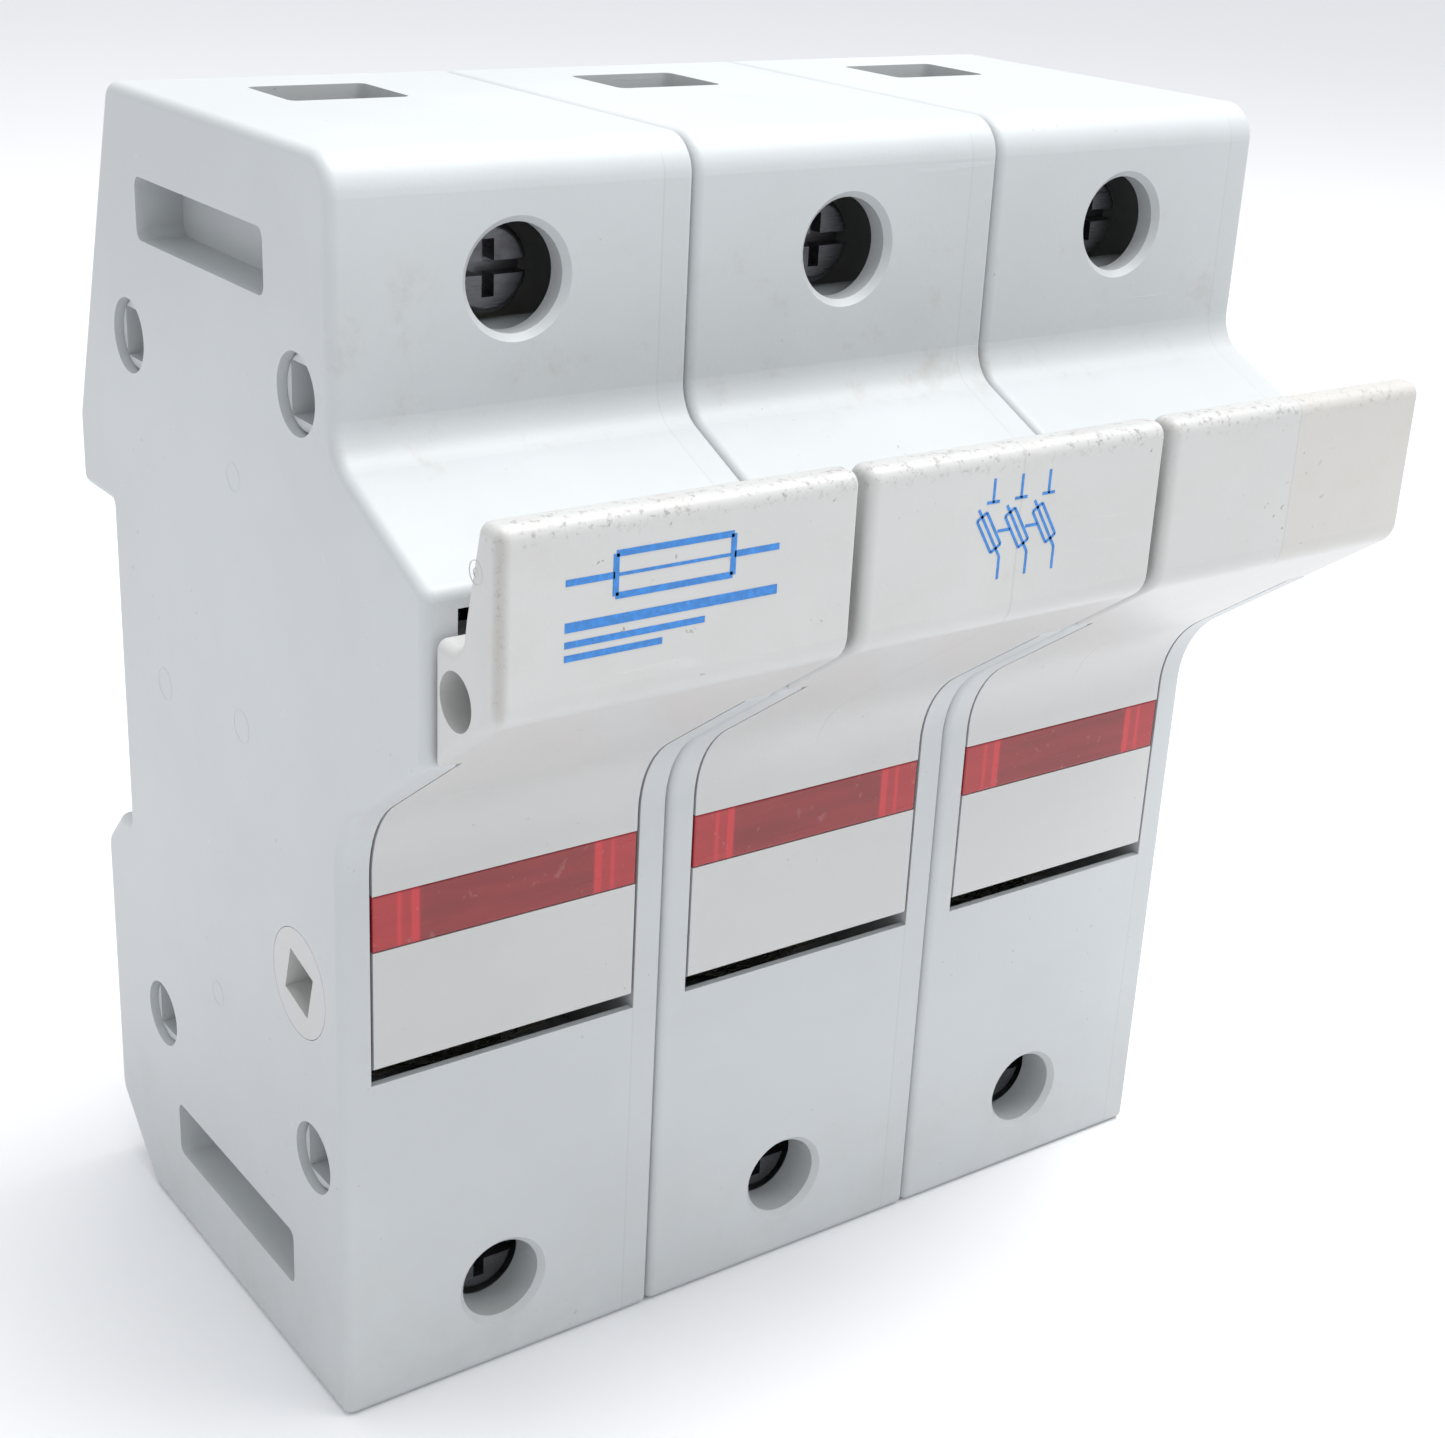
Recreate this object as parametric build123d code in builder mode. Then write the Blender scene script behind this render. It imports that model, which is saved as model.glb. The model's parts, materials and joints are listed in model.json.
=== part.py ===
"""Three-pole cartridge fuse holder for a 35 mm DIN rail, with a swing-out fuse carrier.

Millimetres. +Z is up, the front faces -Y, +X is to the right seen from the front. The origin is at the
middle of the footprint, on the underside. Profiles are drawn in a side view whose first coordinate is
the depth behind the main front face and whose second is the height above the underside.
"""

from build123d import *
import os
from math import cos, radians, sqrt, tan

os.makedirs("parts", exist_ok=True)

# ---------------------------------------------------------------- poles and shells
POLES = {"left": -1, "centre": 0, "right": 1}
pitch = 35.0
pole_gap = 0.2
cover_width = 3.0
side_wall = 3.0
shell_wall = 2.4
height = 121.0
edge_radius = 1.0
cover_radius = 0.4
pole_width = pitch - pole_gap
base_width = pole_width - cover_width

# ---------------------------------------------------------------- outer profile
back_depth = 56.9
lower_back_depth = 56.0
top_back_depth = 45.5
back_knee_height = 87.0
nose_reach = 15.7
nose_lip_height = 89.9
shelf_height = 97.0
apron_slope = 36.1
apron_knee_height = 63.5
apron_radius = 11.0
back_chamfer = 8.5

# ---------------------------------------------------------------- DIN rail
rail_width = 35.0
rail_clearance = 0.4
rail_flange = 1.0
rail_seat_depth = 49.1
rail_middle_height = 61.8
rail_slot_low = rail_middle_height - (rail_width + rail_clearance) / 2
rail_slot_high = rail_middle_height + (rail_width + rail_clearance) / 2
hook_overlap = 1.6
hook_thickness = 2.4
hook_width = 20.0

# ---------------------------------------------------------------- carrier
carrier_gap = 0.3
tongue_thickness = 2.6
tongue_bottom = 38.1
gap_height = 1.5
handle_width = 33.7
handle_reach = 26.0
handle_top = 98.0
flange_top_thickness = 3.2
flange_root_thickness = 5.3
ledge_height = 86.5
tab_clearance = 0.4
tie_bore = 5.0
tie_depth = -19.7
tie_height = 82.3
tie_length = 24.0
tie_clearance = 0.05
cheek_thickness = 1.8
pivot_depth = 8.5
pivot_height = 44.2
trunnion_diameter = 10.8
trunnion_clearance = 0.06
socket_side = 4.8
socket_depth = 4.0
socket_turn = 16.0
link_length = 2 * socket_depth + pole_gap - 0.6
cradle_inner = 8.5
cradle_clearance = 0.25
sweep_clearance = 0.4

# ---------------------------------------------------------------- fuse
fuse_diameter = 20.6
fuse_length = 57.2
cap_skin = 0.4
fuse_tube_diameter = fuse_diameter - 2 * cap_skin
cap_length = 12.7
cap_wall = 0.8
fuse_depth = 16.5
fuse_bottom = 32.0
fuse_top = fuse_bottom + fuse_length

# ---------------------------------------------------------------- indicator
lens_low = 50.3
lens_high = 56.0
lens_thickness = 1.6
lens_fit = 0.05
window_width = 18.0
lamp_diameter = 3.0
lamp_length = 9.0
lamp_depth = 4.4
lamp_height = 53.2
lead_diameter = 0.5
lead_reach = 6.0
lead_height = 59.0
board_thickness = 0.8
board_depth = 3.2
board_half = 11.8
board_low = 57.0
board_height = 9.0
strip = 0.3
lower_strip_place = 8.5

# ---------------------------------------------------------------- contacts and terminals
copper = 1.8
blade_thickness = 1.2
blade_clearance = 0.35
bar_width = 10.0
bar_depth = fuse_depth + fuse_diameter / 2 + 0.4
blade_mouth_depth = 12.0
boss_sweep = 5.5
upper_screw_height = 110.0
lower_screw_height = 9.6
upper_hole_diameter = 9.4
lower_hole_diameter = 8.6
hole_bevel = 0.6
screw_diameter = 5.0
screw_head_diameter = 8.0
screw_head_height = 4.0
screw_head_depth = 5.0
guide_gap = 0.2
screw_tip_gap = 0.3
thread_clearance = 0.06
screw_slot = 1.2
cage_width = 14.0
cage_height = 9.0
cage_front = 3.5
cage_back = 2.2
cage_side = 1.6
cage_bar_gap = 0.4
wire_space = 9.4
slot_width = 12.0
slot_front_depth = 28.0
slot_back_depth = 37.6
slot_offset = -0.9

# ---------------------------------------------------------------- pins, foot and spring
pin_diameter = 7.0
pin_clearance = 0.1
pin_boss_wall = 1.1
pin_socket = 4.8
pin_socket_depth = 6.0
pin_recess = 0.8
PIN_PLACES = [(6.3, 100.6), (42.4, 97.8), (42.4, 24.3), (6.3, 26.4)]
vent_recess = 4.6
vent_pocket_wall = 1.4
cover_recess = 1.5
foot_wide = 12.4
foot_narrow = 7.6
foot_clearance = 0.3
foot_front_thickness = 1.8
foot_back_thickness = 3.2
foot_bottom = 6.5
foot_travel = 3.0
spring_bottom = 31.0
spring_length = 9.5
spring_wire = 0.5
spring_coil = 3.4
spring_pitch = 1.6
spring_pocket = 4.6
rib = 1.8

# ---------------------------------------------------------------- worked out from the sizes above
front_y = (handle_reach - back_depth) / 2
slope = tan(radians(apron_slope))
slope_thickness = tongue_thickness / cos(radians(apron_slope))
mouth_half = (base_width - side_wall) / 2
tongue_half = mouth_half - carrier_gap
cheek_inner = tongue_half - cheek_thickness
gap_bottom = tongue_bottom - gap_height
tab_depth = -(nose_reach + tab_clearance)
tongue_sweep = sqrt(pivot_depth**2 + (pivot_height - tongue_bottom) ** 2) + sweep_clearance
fuse_front = fuse_depth - fuse_diameter / 2
fuse_back = fuse_depth + fuse_diameter / 2
top_sweep = sqrt((fuse_back - pivot_depth) ** 2 + (fuse_top - pivot_height) ** 2)
low_sweep = sqrt((fuse_front - pivot_depth) ** 2 + (fuse_bottom - pivot_height) ** 2)
ceiling_height = pivot_height + top_sweep + sweep_clearance
fork_floor = pivot_height - low_sweep - sweep_clearance
mouth_top = nose_lip_height - 1.6
fork_inner = fuse_diameter / 2 + blade_clearance
fork_half = fork_inner + blade_thickness
lower_mouth_depth = pivot_depth + boss_sweep
foot_depth = rail_seat_depth + rail_flange + rail_clearance
foot_back = foot_depth + foot_front_thickness + foot_back_thickness
pocket_front = foot_depth - foot_clearance
pocket_step = foot_depth + foot_front_thickness + foot_clearance
cavity_back = rail_seat_depth - shell_wall
cage_depth = bar_depth - cage_bar_gap - cage_front
cage_length = cage_front + cage_bar_gap + copper + wire_space + cage_back


def apron_line(depth):
    """Height of the apron's outer slope at a depth in front of the main face."""
    return apron_knee_height - depth * slope


def side(x):
    """Plane seen from the side: depth behind the front face, then height. Extrudes towards +X."""
    return Plane(origin=(x, front_y, 0), x_dir=(0, 1, 0), z_dir=(1, 0, 0))


def front(depth):
    """Plane seen from the front: X, then height. Extrudes towards the front."""
    return Plane(origin=(0, front_y + depth, 0), x_dir=(1, 0, 0), z_dir=(0, -1, 0))


def level(z):
    """Plane seen from above: X, then depth behind the front face. Extrudes upwards."""
    return Plane(origin=(0, front_y, z))


def closed_outline(corners):
    """Face inside a closed polyline whose corners are (depth, height, radius)."""
    with BuildLine() as outline:
        FilletPolyline([c[:2] for c in corners], radius=[c[2] for c in corners], close=True)
    make_face(outline.edges())


def slab(low, high, height_low, height_high):
    """Rectangle of the side view between two depths and two heights."""
    with Locations(((low + high) / 2, (height_low + height_high) / 2)):
        Rectangle(high - low, height_high - height_low)


def bar(x_low, x_high, low, high):
    """Rectangle of the front view or the plan between two X and two heights or depths."""
    with Locations(((x_low + x_high) / 2, (low + high) / 2)):
        Rectangle(x_high - x_low, high - low)


def save(part, name):
    """Label a finished piece and write it as its own STEP file."""
    part.label = name
    export_step(part, f"parts/{name}.step")


# ---------------------------------------------------------------- housing shells
block_half = foot_wide / 2 + 3
block_front = pocket_front - spring_pocket - rib
block_back = lower_back_depth - shell_wall / 2
FOOT_BLOCK = [
    (block_front, shell_wall / 2),
    (lower_back_depth - back_chamfer - 1, shell_wall / 2),
    (block_back, back_chamfer + 1),
    (block_back, rail_slot_low - 4.5),
    (rail_seat_depth + 2.6, rail_slot_low - 1),
    (block_front, rail_slot_low - 1),
]
SHELL = [
    (0, 0, 1.0),
    (0, apron_knee_height, apron_radius),
    (-nose_reach, apron_line(-nose_reach), 1.0),
    (-nose_reach, nose_lip_height, 1.2),
    (0, shelf_height, 4.0),
    (0, height, 3.5),
    (top_back_depth, height, 2.0),
    (back_depth, back_knee_height, 3.0),
    (back_depth, rail_slot_high, 1.2),
    (rail_seat_depth, rail_slot_high, 0.4),
    (rail_seat_depth, rail_slot_low, 0.4),
    (rail_seat_depth + 2.8, rail_slot_low, 1.2),
    (lower_back_depth, rail_slot_low - 4.2, 2.4),
    (lower_back_depth, back_chamfer, 3.0),
    (lower_back_depth - back_chamfer, 0, 3.0),
]


def access_hole(centre, screw_height, diameter):
    """Bevelled hole in the front wall that a screwdriver goes through."""
    with BuildSketch(front(-1)) as hole:
        with Locations((centre, screw_height)):
            Circle(diameter / 2)
    extrude(hole.sketch, amount=-(shell_wall + 2), mode=Mode.SUBTRACT)
    with BuildSketch(front(0)) as mouth:
        with Locations((centre, screw_height)):
            Circle(diameter / 2 + hole_bevel)
    extrude(mouth.sketch, amount=-hole_bevel, taper=45, mode=Mode.SUBTRACT)


def wire_slot(centre, z_low):
    """Rectangular wire entry through the top or the bottom wall."""
    with BuildSketch(level(z_low)) as slot:
        bar(centre + slot_offset - slot_width / 2, centre + slot_offset + slot_width / 2,
            slot_front_depth, slot_back_depth)
        fillet(slot.vertices(), 0.8)
    extrude(slot.sketch, amount=shell_wall + 2, mode=Mode.SUBTRACT)


def vent_slots():
    """Outlines of the two long recesses of a side face."""
    slab(12.0, 39.2, upper_screw_height - 2.5, upper_screw_height + 3.3)
    slab(11.2, 39.2, lower_screw_height - 0.8, lower_screw_height + 5.4)


def side_recesses(x, amount):
    """The two long recesses in an outer side face."""
    with BuildSketch(side(x)) as recesses:
        vent_slots()
        fillet(recesses.vertices(), 1.0)
    extrude(recesses.sketch, amount=amount, mode=Mode.SUBTRACT)


def side_bores(x, amount):
    """Bores for the four tubular pins and the carrier's trunnion."""
    with BuildSketch(side(x)) as bores:
        with Locations(PIN_PLACES):
            Circle(pin_diameter / 2 + pin_clearance)
        with Locations((pivot_depth, pivot_height)):
            Circle(trunnion_diameter / 2 + trunnion_clearance)
    extrude(bores.sketch, amount=amount, mode=Mode.SUBTRACT)


def housing_base(centre):
    """Deep left-hand shell of one pole: five walls, ribs, pin bosses, rail hook and foot guide."""
    left = centre - pole_width / 2
    inside = left + side_wall
    inner_width = base_width - side_wall
    with BuildPart() as base:
        with BuildSketch(side(left)):
            closed_outline(SHELL)
        extrude(amount=base_width)
        rounded = base.faces().sort_by(Axis.X)[0].edges()
        fillet(rounded, edge_radius)
        with BuildSketch(side(inside)):
            closed_outline(SHELL)
            offset(amount=-shell_wall, mode=Mode.REPLACE)
        extrude(amount=inner_width, mode=Mode.SUBTRACT)
        with BuildSketch(side(inside)):
            slab(shell_wall / 2, cavity_back + 1, ceiling_height, ceiling_height + rib)
            slab(shell_wall / 2, cavity_back + 1, fork_floor - copper - rib, fork_floor - copper)
            with Locations(PIN_PLACES):
                Circle(pin_diameter / 2 + pin_clearance + pin_boss_wall)
        extrude(amount=inner_width)
        with BuildSketch(side(centre - hook_width / 2)):
            slab(foot_depth, foot_depth + hook_thickness, rail_slot_high - hook_overlap, rail_slot_high + 1)
        extrude(amount=hook_width)
        with BuildSketch(side(centre - block_half)):
            closed_outline([(*corner, 0.3) for corner in FOOT_BLOCK])
        extrude(amount=2 * block_half)
        with BuildSketch(front(shell_wall / 2)):
            with Locations((centre, lower_screw_height)):
                Circle(lower_hole_diameter / 2 + 1.3)
        extrude(amount=shell_wall / 2 - screw_head_depth + guide_gap)
        with BuildSketch(side(inside)):
            vent_slots()
            offset(amount=vent_pocket_wall)
        extrude(amount=vent_recess + vent_pocket_wall - side_wall)
        with BuildSketch(side(inside)):
            slab(-nose_reach - 2, shell_wall + 0.1, gap_bottom, mouth_top)
            with Locations((pivot_depth, pivot_height)):
                Circle(tongue_sweep)
        extrude(amount=inner_width, mode=Mode.SUBTRACT)
        with BuildSketch(level(foot_bottom - foot_travel - 0.5)):
            bar(centre - foot_wide / 2 - foot_clearance, centre + foot_wide / 2 + foot_clearance,
                pocket_front, pocket_step)
            bar(centre - foot_narrow / 2 - foot_clearance, centre + foot_narrow / 2 + foot_clearance,
                pocket_front, back_depth + 1)
        extrude(amount=rail_slot_low, mode=Mode.SUBTRACT)
        with BuildSketch(level(spring_bottom)):
            bar(centre - spring_pocket / 2, centre + spring_pocket / 2,
                pocket_front - spring_pocket, pocket_front + 0.1)
        extrude(amount=rail_slot_low - spring_bottom - 0.8, mode=Mode.SUBTRACT)
        with BuildSketch(level(fork_floor - copper - rib - 1)):
            bar(centre - bar_width / 2 - 0.3, centre + bar_width / 2 + 0.3,
                bar_depth - 0.2, bar_depth + copper + 0.2)
        extrude(amount=ceiling_height - fork_floor + 10, mode=Mode.SUBTRACT)
        access_hole(centre, upper_screw_height, upper_hole_diameter)
        access_hole(centre, lower_screw_height, lower_hole_diameter)
        with BuildSketch(front(-1)):
            with Locations((centre, lower_screw_height)):
                Circle(lower_hole_diameter / 2)
        extrude(amount=-(screw_head_depth + screw_head_height + 2), mode=Mode.SUBTRACT)
        wire_slot(centre, height - shell_wall - 1)
        wire_slot(centre, -1)
        side_bores(left - 1, base_width + 2)
        side_recesses(left, vent_recess)
    return base.part


def housing_cover(centre):
    """Side plate that closes the base on its right."""
    left = centre - pole_width / 2 + base_width
    with BuildPart() as cover:
        with BuildSketch(side(left)):
            closed_outline(SHELL)
        extrude(amount=cover_width)
        fillet(cover.faces().sort_by(Axis.X)[-1].edges(), cover_radius)
        side_bores(left - 1, cover_width + 2)
        side_recesses(left + cover_width, -cover_recess)
    return cover.part


def housing_pins(centre):
    """Four tubular pins that hold the two shells together, with square sockets in their ends."""
    low = centre - pole_width / 2 + pin_recess
    length = pole_width - 2 * pin_recess
    with BuildPart() as pins:
        with BuildSketch(side(low)):
            with Locations(PIN_PLACES):
                Circle(pin_diameter / 2)
        extrude(amount=length)
        chamfer(pins.edges().filter_by(GeomType.CIRCLE), 0.3)
        for x, amount in ((low, pin_socket_depth), (low + length, -pin_socket_depth)):
            with BuildSketch(side(x)):
                with Locations(PIN_PLACES):
                    Rectangle(pin_socket, pin_socket)
            extrude(amount=amount, mode=Mode.SUBTRACT)
    return pins.part


# ---------------------------------------------------------------- swing-out carrier
inner_knee = apron_line(tongue_thickness) + slope_thickness
web_back = tab_depth + 7.0
web_top = 84.6
web_bottom = web_top - 2.0
hub_radius = pivot_height - tongue_bottom + 0.1
CHEEKS = [
    (0, tongue_bottom, 0.4),
    (0, apron_knee_height, apron_radius),
    (tab_depth, apron_line(tab_depth), 0),
    (tab_depth, web_top, 0),
    (web_back, web_top, 1.0),
    (4.0, 72.0, 3.0),
    (20.0, 69.0, 1.0),
    (22.0, 66.0, 1.0),
    (22.0, 50.0, 2.0),
    (pivot_depth + 6.5, pivot_height, 0),
    (pivot_depth, tongue_bottom - 0.1, 0),
]
CARRIER_HOLLOW = [
    (tongue_thickness, tongue_bottom - 5, 0),
    (tongue_thickness, inner_knee, apron_radius + tongue_thickness),
    (tab_depth + 2.3, apron_line(tab_depth + 2.3) + slope_thickness, 0.8),
    (tab_depth + 2.3, web_bottom, 0.8),
    (web_back + 1, web_bottom, 0),
    (web_back + 5, ledge_height, 0),
    (fuse_back, ledge_height, 0),
    (fuse_back, tongue_bottom - 5, 0),
]
HANDLE = [
    (-handle_reach, apron_line(-handle_reach), 3.0),
    (-handle_reach, handle_top, 1.2),
    (-handle_reach + flange_top_thickness, handle_top, 1.2),
    (-handle_reach + flange_root_thickness, ledge_height + 3.0, 0),
    (-handle_reach + flange_root_thickness + 0.5, ledge_height, 1.6),
    (tab_depth, ledge_height, 0.8),
    (tab_depth, apron_line(tab_depth), 0),
]
CRADLE_RIBS = [(50.0, 54.0), (62.0, 66.0)]


def fuse_carrier(centre):
    """Tongue, cheeks, cradle ribs, trunnions and the full-width handle in one moulding."""
    low = centre - handle_width / 2
    with BuildPart() as carrier:
        with BuildSketch(side(low)):
            closed_outline(HANDLE)
        extrude(amount=handle_width)
        fillet(carrier.faces().sort_by(Axis.X)[0].edges(), edge_radius)
        fillet(carrier.faces().sort_by(Axis.X)[-1].edges(), 0.3)
        with BuildSketch(side(centre - tongue_half)):
            closed_outline(CHEEKS)
            with Locations((pivot_depth, pivot_height)):
                Circle(hub_radius)
        extrude(amount=2 * tongue_half)
        with BuildSketch(side(centre - cheek_inner)):
            closed_outline(CARRIER_HOLLOW)
        extrude(amount=2 * cheek_inner, mode=Mode.SUBTRACT)
        with BuildSketch(side(centre - tongue_half)):
            for rib_low, rib_high in CRADLE_RIBS:
                slab(pivot_depth - 0.5, pivot_depth + 11, rib_low, rib_high)
        extrude(amount=2 * tongue_half)
        with BuildSketch(side(centre - cradle_inner)):
            slab(tongue_thickness, fuse_back, CRADLE_RIBS[0][0] - 1, CRADLE_RIBS[1][1] + 1)
        extrude(amount=2 * cradle_inner, mode=Mode.SUBTRACT)
        with BuildSketch(level(CRADLE_RIBS[0][0] - 1)):
            with Locations((centre, fuse_depth)):
                Circle(fuse_tube_diameter / 2 + cradle_clearance)
        extrude(amount=CRADLE_RIBS[1][1] - CRADLE_RIBS[0][0] + 2, mode=Mode.SUBTRACT)
        for x, amount in ((centre - pole_width / 2, 1), (centre + pole_width / 2, -1)):
            with BuildSketch(side(x)):
                with Locations((pivot_depth, pivot_height)):
                    Circle(trunnion_diameter / 2)
            extrude(amount=amount * (pole_width / 2 - cheek_inner))
            with BuildSketch(side(x)):
                with Locations(Location((pivot_depth, pivot_height), socket_turn)):
                    Rectangle(socket_side, socket_side)
            extrude(amount=amount * socket_depth, mode=Mode.SUBTRACT)
            with BuildSketch(side(x)):
                with Locations((tie_depth, tie_height)):
                    Circle(tie_bore / 2)
            extrude(amount=amount * (tie_length / 2 + 0.5), mode=Mode.SUBTRACT)
        with BuildSketch(front(0)):
            bar(centre - tongue_half - 1, centre + tongue_half + 1, lens_low, lens_high)
        extrude(amount=-lens_thickness, mode=Mode.SUBTRACT)
        with BuildSketch(front(0)):
            bar(centre - window_width / 2, centre + window_width / 2, lens_low + 0.4, lens_high - 0.4)
        extrude(amount=-tongue_thickness - 0.5, mode=Mode.SUBTRACT)
    return carrier.part


def indicator_lens(centre):
    """Red bar across the tongue, with a block behind it that fills the window."""
    with BuildPart() as lens:
        with BuildSketch(front(0)):
            bar(centre - tongue_half, centre + tongue_half, lens_low + lens_fit, lens_high - lens_fit)
        extrude(amount=lens_fit - lens_thickness)
        fillet(lens.faces().sort_by(Axis.Y)[0].edges(), 0.2)
        with BuildSketch(front(lens_thickness - 0.2)):
            bar(centre - window_width / 2 + lens_fit, centre + window_width / 2 - lens_fit,
                lens_low + 0.4 + lens_fit, lens_high - 0.4 - lens_fit)
        extrude(amount=lens_thickness - tongue_thickness)
    return lens.part


def neon_lamp(centre):
    """Glass bulb with rounded ends and two bent leads that reach the board."""
    tip = lamp_length / 2 - lamp_diameter / 2
    with BuildPart() as lamp:
        with Locations((centre, front_y + lamp_depth, lamp_height)):
            Cylinder(lamp_diameter / 2, 2 * tip, rotation=(0, 90, 0))
        for end in (-1, 1):
            with Locations((centre + end * tip, front_y + lamp_depth, lamp_height)):
                Sphere(lamp_diameter / 2)
            with BuildLine():
                FilletPolyline(
                    (centre + end * tip, front_y + lamp_depth, lamp_height),
                    (centre + end * lead_reach, front_y + lamp_depth, lamp_height),
                    (centre + end * lead_reach, front_y + lamp_depth, lead_height),
                    (centre + end * lead_reach, front_y + board_depth + 0.1, lead_height),
                    radius=0.6,
                )
            with BuildSketch(Plane(origin=(centre + end * tip, front_y + lamp_depth, lamp_height),
                                   z_dir=(end, 0, 0))):
                Circle(lead_diameter / 2)
            sweep()
    return lamp.part


def indicator_board(centre):
    """Narrow circuit board across the carrier with a resistor lying on it."""
    with BuildPart() as board:
        with BuildSketch(front(board_depth)) as outline:
            bar(centre - board_half, centre + board_half, board_low, board_low + board_height)
            fillet(outline.vertices(), 0.6)
            with Locations((centre - lead_reach, lead_height), (centre + lead_reach, lead_height)):
                Circle(lead_diameter / 2 + 0.2, mode=Mode.SUBTRACT)
        extrude(amount=-board_thickness)
        with Locations((centre, front_y + board_depth + board_thickness + 1.0, board_low + 6.2)):
            Cylinder(1.1, 6.0, rotation=(0, 90, 0))
    return board.part


def indicator_springs(centre):
    """Two bent strips that run from the board to the two fuse caps."""
    half = strip / 2 + lens_fit
    root = board_depth + board_thickness + half
    front_cap = fuse_front - half
    side_cap = fuse_depth - sqrt((fuse_diameter / 2) ** 2 - (lower_strip_place - 1) ** 2) - half
    upper = [
        (root, board_low + 7.5),
        (root, board_low + 10),
        (front_cap, fuse_top - cap_length + 3),
        (front_cap - 1.2, fuse_top - cap_length + 5.5),
    ]
    lower = [
        (root, board_low + 5.0),
        (root, board_low - 6.0),
        (side_cap, fuse_bottom + cap_length - 2.0),
        (side_cap - 1.0, fuse_bottom + cap_length - 4.0),
    ]
    with BuildPart() as springs:
        for path, place, width in ((upper, 0, 3.0), (lower, lower_strip_place, 2.0)):
            with BuildSketch(side(centre + place - width / 2)):
                with BuildLine() as line:
                    FilletPolyline(path, radius=0.8)
                trace(line.edges(), strip)
            extrude(amount=width)
    return springs.part


# ---------------------------------------------------------------- fuse
def fuse_tube(centre):
    """Insulating body of the cartridge fuse."""
    with BuildPart() as tube:
        with BuildSketch(level(fuse_bottom + cap_wall)):
            with Locations((centre, fuse_depth)):
                Circle(fuse_tube_diameter / 2)
                Circle(fuse_tube_diameter / 2 - 2.2, mode=Mode.SUBTRACT)
        extrude(amount=fuse_length - 2 * cap_wall)
    return tube.part


def fuse_caps(centre):
    """Two end ferrules of the cartridge fuse."""
    with BuildPart() as caps:
        for low in (fuse_bottom, fuse_top - cap_length):
            with BuildSketch(level(low)):
                with Locations((centre, fuse_depth)):
                    Circle(fuse_diameter / 2)
            extrude(amount=cap_length)
        fillet(caps.edges().filter_by(GeomType.CIRCLE), 0.5)
        with BuildSketch(level(fuse_bottom + cap_wall)):
            with Locations((centre, fuse_depth)):
                Circle(fuse_tube_diameter / 2)
        extrude(amount=fuse_length - 2 * cap_wall, mode=Mode.SUBTRACT)
    return caps.part


# ---------------------------------------------------------------- contacts and terminals
def upper_contact(centre):
    """Fork behind the top ferrule, with the bar that stands up into the terminal."""
    low = fuse_top - cap_length + 0.5
    with BuildPart() as contact:
        with BuildSketch(front(bar_depth)):
            bar(centre - fork_half, centre + fork_half, low, fuse_top - 0.7)
            bar(centre - bar_width / 2, centre + bar_width / 2, low, height - shell_wall - 1.6)
        extrude(amount=-copper)
        for x in (centre - fork_half, centre + fork_inner):
            with BuildSketch(side(x)):
                slab(blade_mouth_depth, bar_depth + 0.1, low, fuse_top - 0.7)
            extrude(amount=blade_thickness)
        fillet(contact.edges().filter_by(Axis.X).group_by(Axis.Y)[0], 2.0)
    return contact.part


def lower_contact(centre):
    """Fork that grips the bottom ferrule from a plate below it, with its terminal bar."""
    top = fork_floor
    with BuildPart() as contact:
        with BuildSketch(level(top - copper)):
            bar(centre - fork_half, centre + fork_half, blade_mouth_depth, bar_depth + copper)
        extrude(amount=copper)
        for x in (centre - fork_half, centre + fork_inner):
            with BuildSketch(side(x)):
                slab(lower_mouth_depth, bar_depth - 2.2, top - 0.1, fuse_bottom + cap_length - 1.2)
            extrude(amount=blade_thickness)
        fillet(contact.edges().filter_by(Axis.X).group_by(Axis.Z)[-1], 2.0)
        with BuildSketch(front(bar_depth)):
            bar(centre - bar_width / 2, centre + bar_width / 2, shell_wall + 2.1, top - 0.1)
        extrude(amount=-copper)
    return contact.part


def clamp_screw(centre, screw_height):
    """Terminal screw with a slotted and cross-cut head, pointing to the back."""
    with BuildPart() as screw:
        with BuildSketch(front(screw_head_depth)):
            with Locations((centre, screw_height)):
                Circle(screw_head_diameter / 2)
        extrude(amount=-screw_head_height)
        fillet(screw.faces().sort_by(Axis.Y)[0].edges(), 0.6)
        with BuildSketch(front(screw_head_depth + screw_head_height - 0.1)):
            with Locations((centre, screw_height)):
                Circle(screw_diameter / 2)
        extrude(amount=screw_head_depth + screw_head_height - 0.1 + screw_tip_gap - bar_depth)
        chamfer(screw.faces().sort_by(Axis.Y)[-1].edges(), 0.5)
        with BuildSketch(front(screw_head_depth)):
            with Locations((centre, screw_height)):
                Rectangle(screw_head_diameter + 1, screw_slot)
                Rectangle(screw_slot, screw_head_diameter * 0.62)
        extrude(amount=-screw_head_height * 0.45, mode=Mode.SUBTRACT)
    return screw.part


def clamp_cage(centre, screw_height):
    """Rectangular clamp that the screw draws forward, with the wire between it and the bar."""
    low = centre - cage_width / 2
    with BuildPart() as cage:
        with BuildSketch(level(screw_height - cage_height / 2)) as outline:
            bar(low, low + cage_width, cage_depth, cage_depth + cage_length)
            fillet(outline.vertices(), 1.0)
            bar_opening = (cage_depth + cage_front, cage_depth + cage_length - cage_back)
            with Locations((centre, sum(bar_opening) / 2)):
                Rectangle(cage_width - 2 * cage_side, bar_opening[1] - bar_opening[0],
                          mode=Mode.SUBTRACT)
        extrude(amount=cage_height)
        with BuildSketch(front(cage_depth - 1)):
            with Locations((centre, screw_height)):
                Circle(screw_diameter / 2 + thread_clearance)
        extrude(amount=-(cage_front + 2), mode=Mode.SUBTRACT)
    return cage.part


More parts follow.
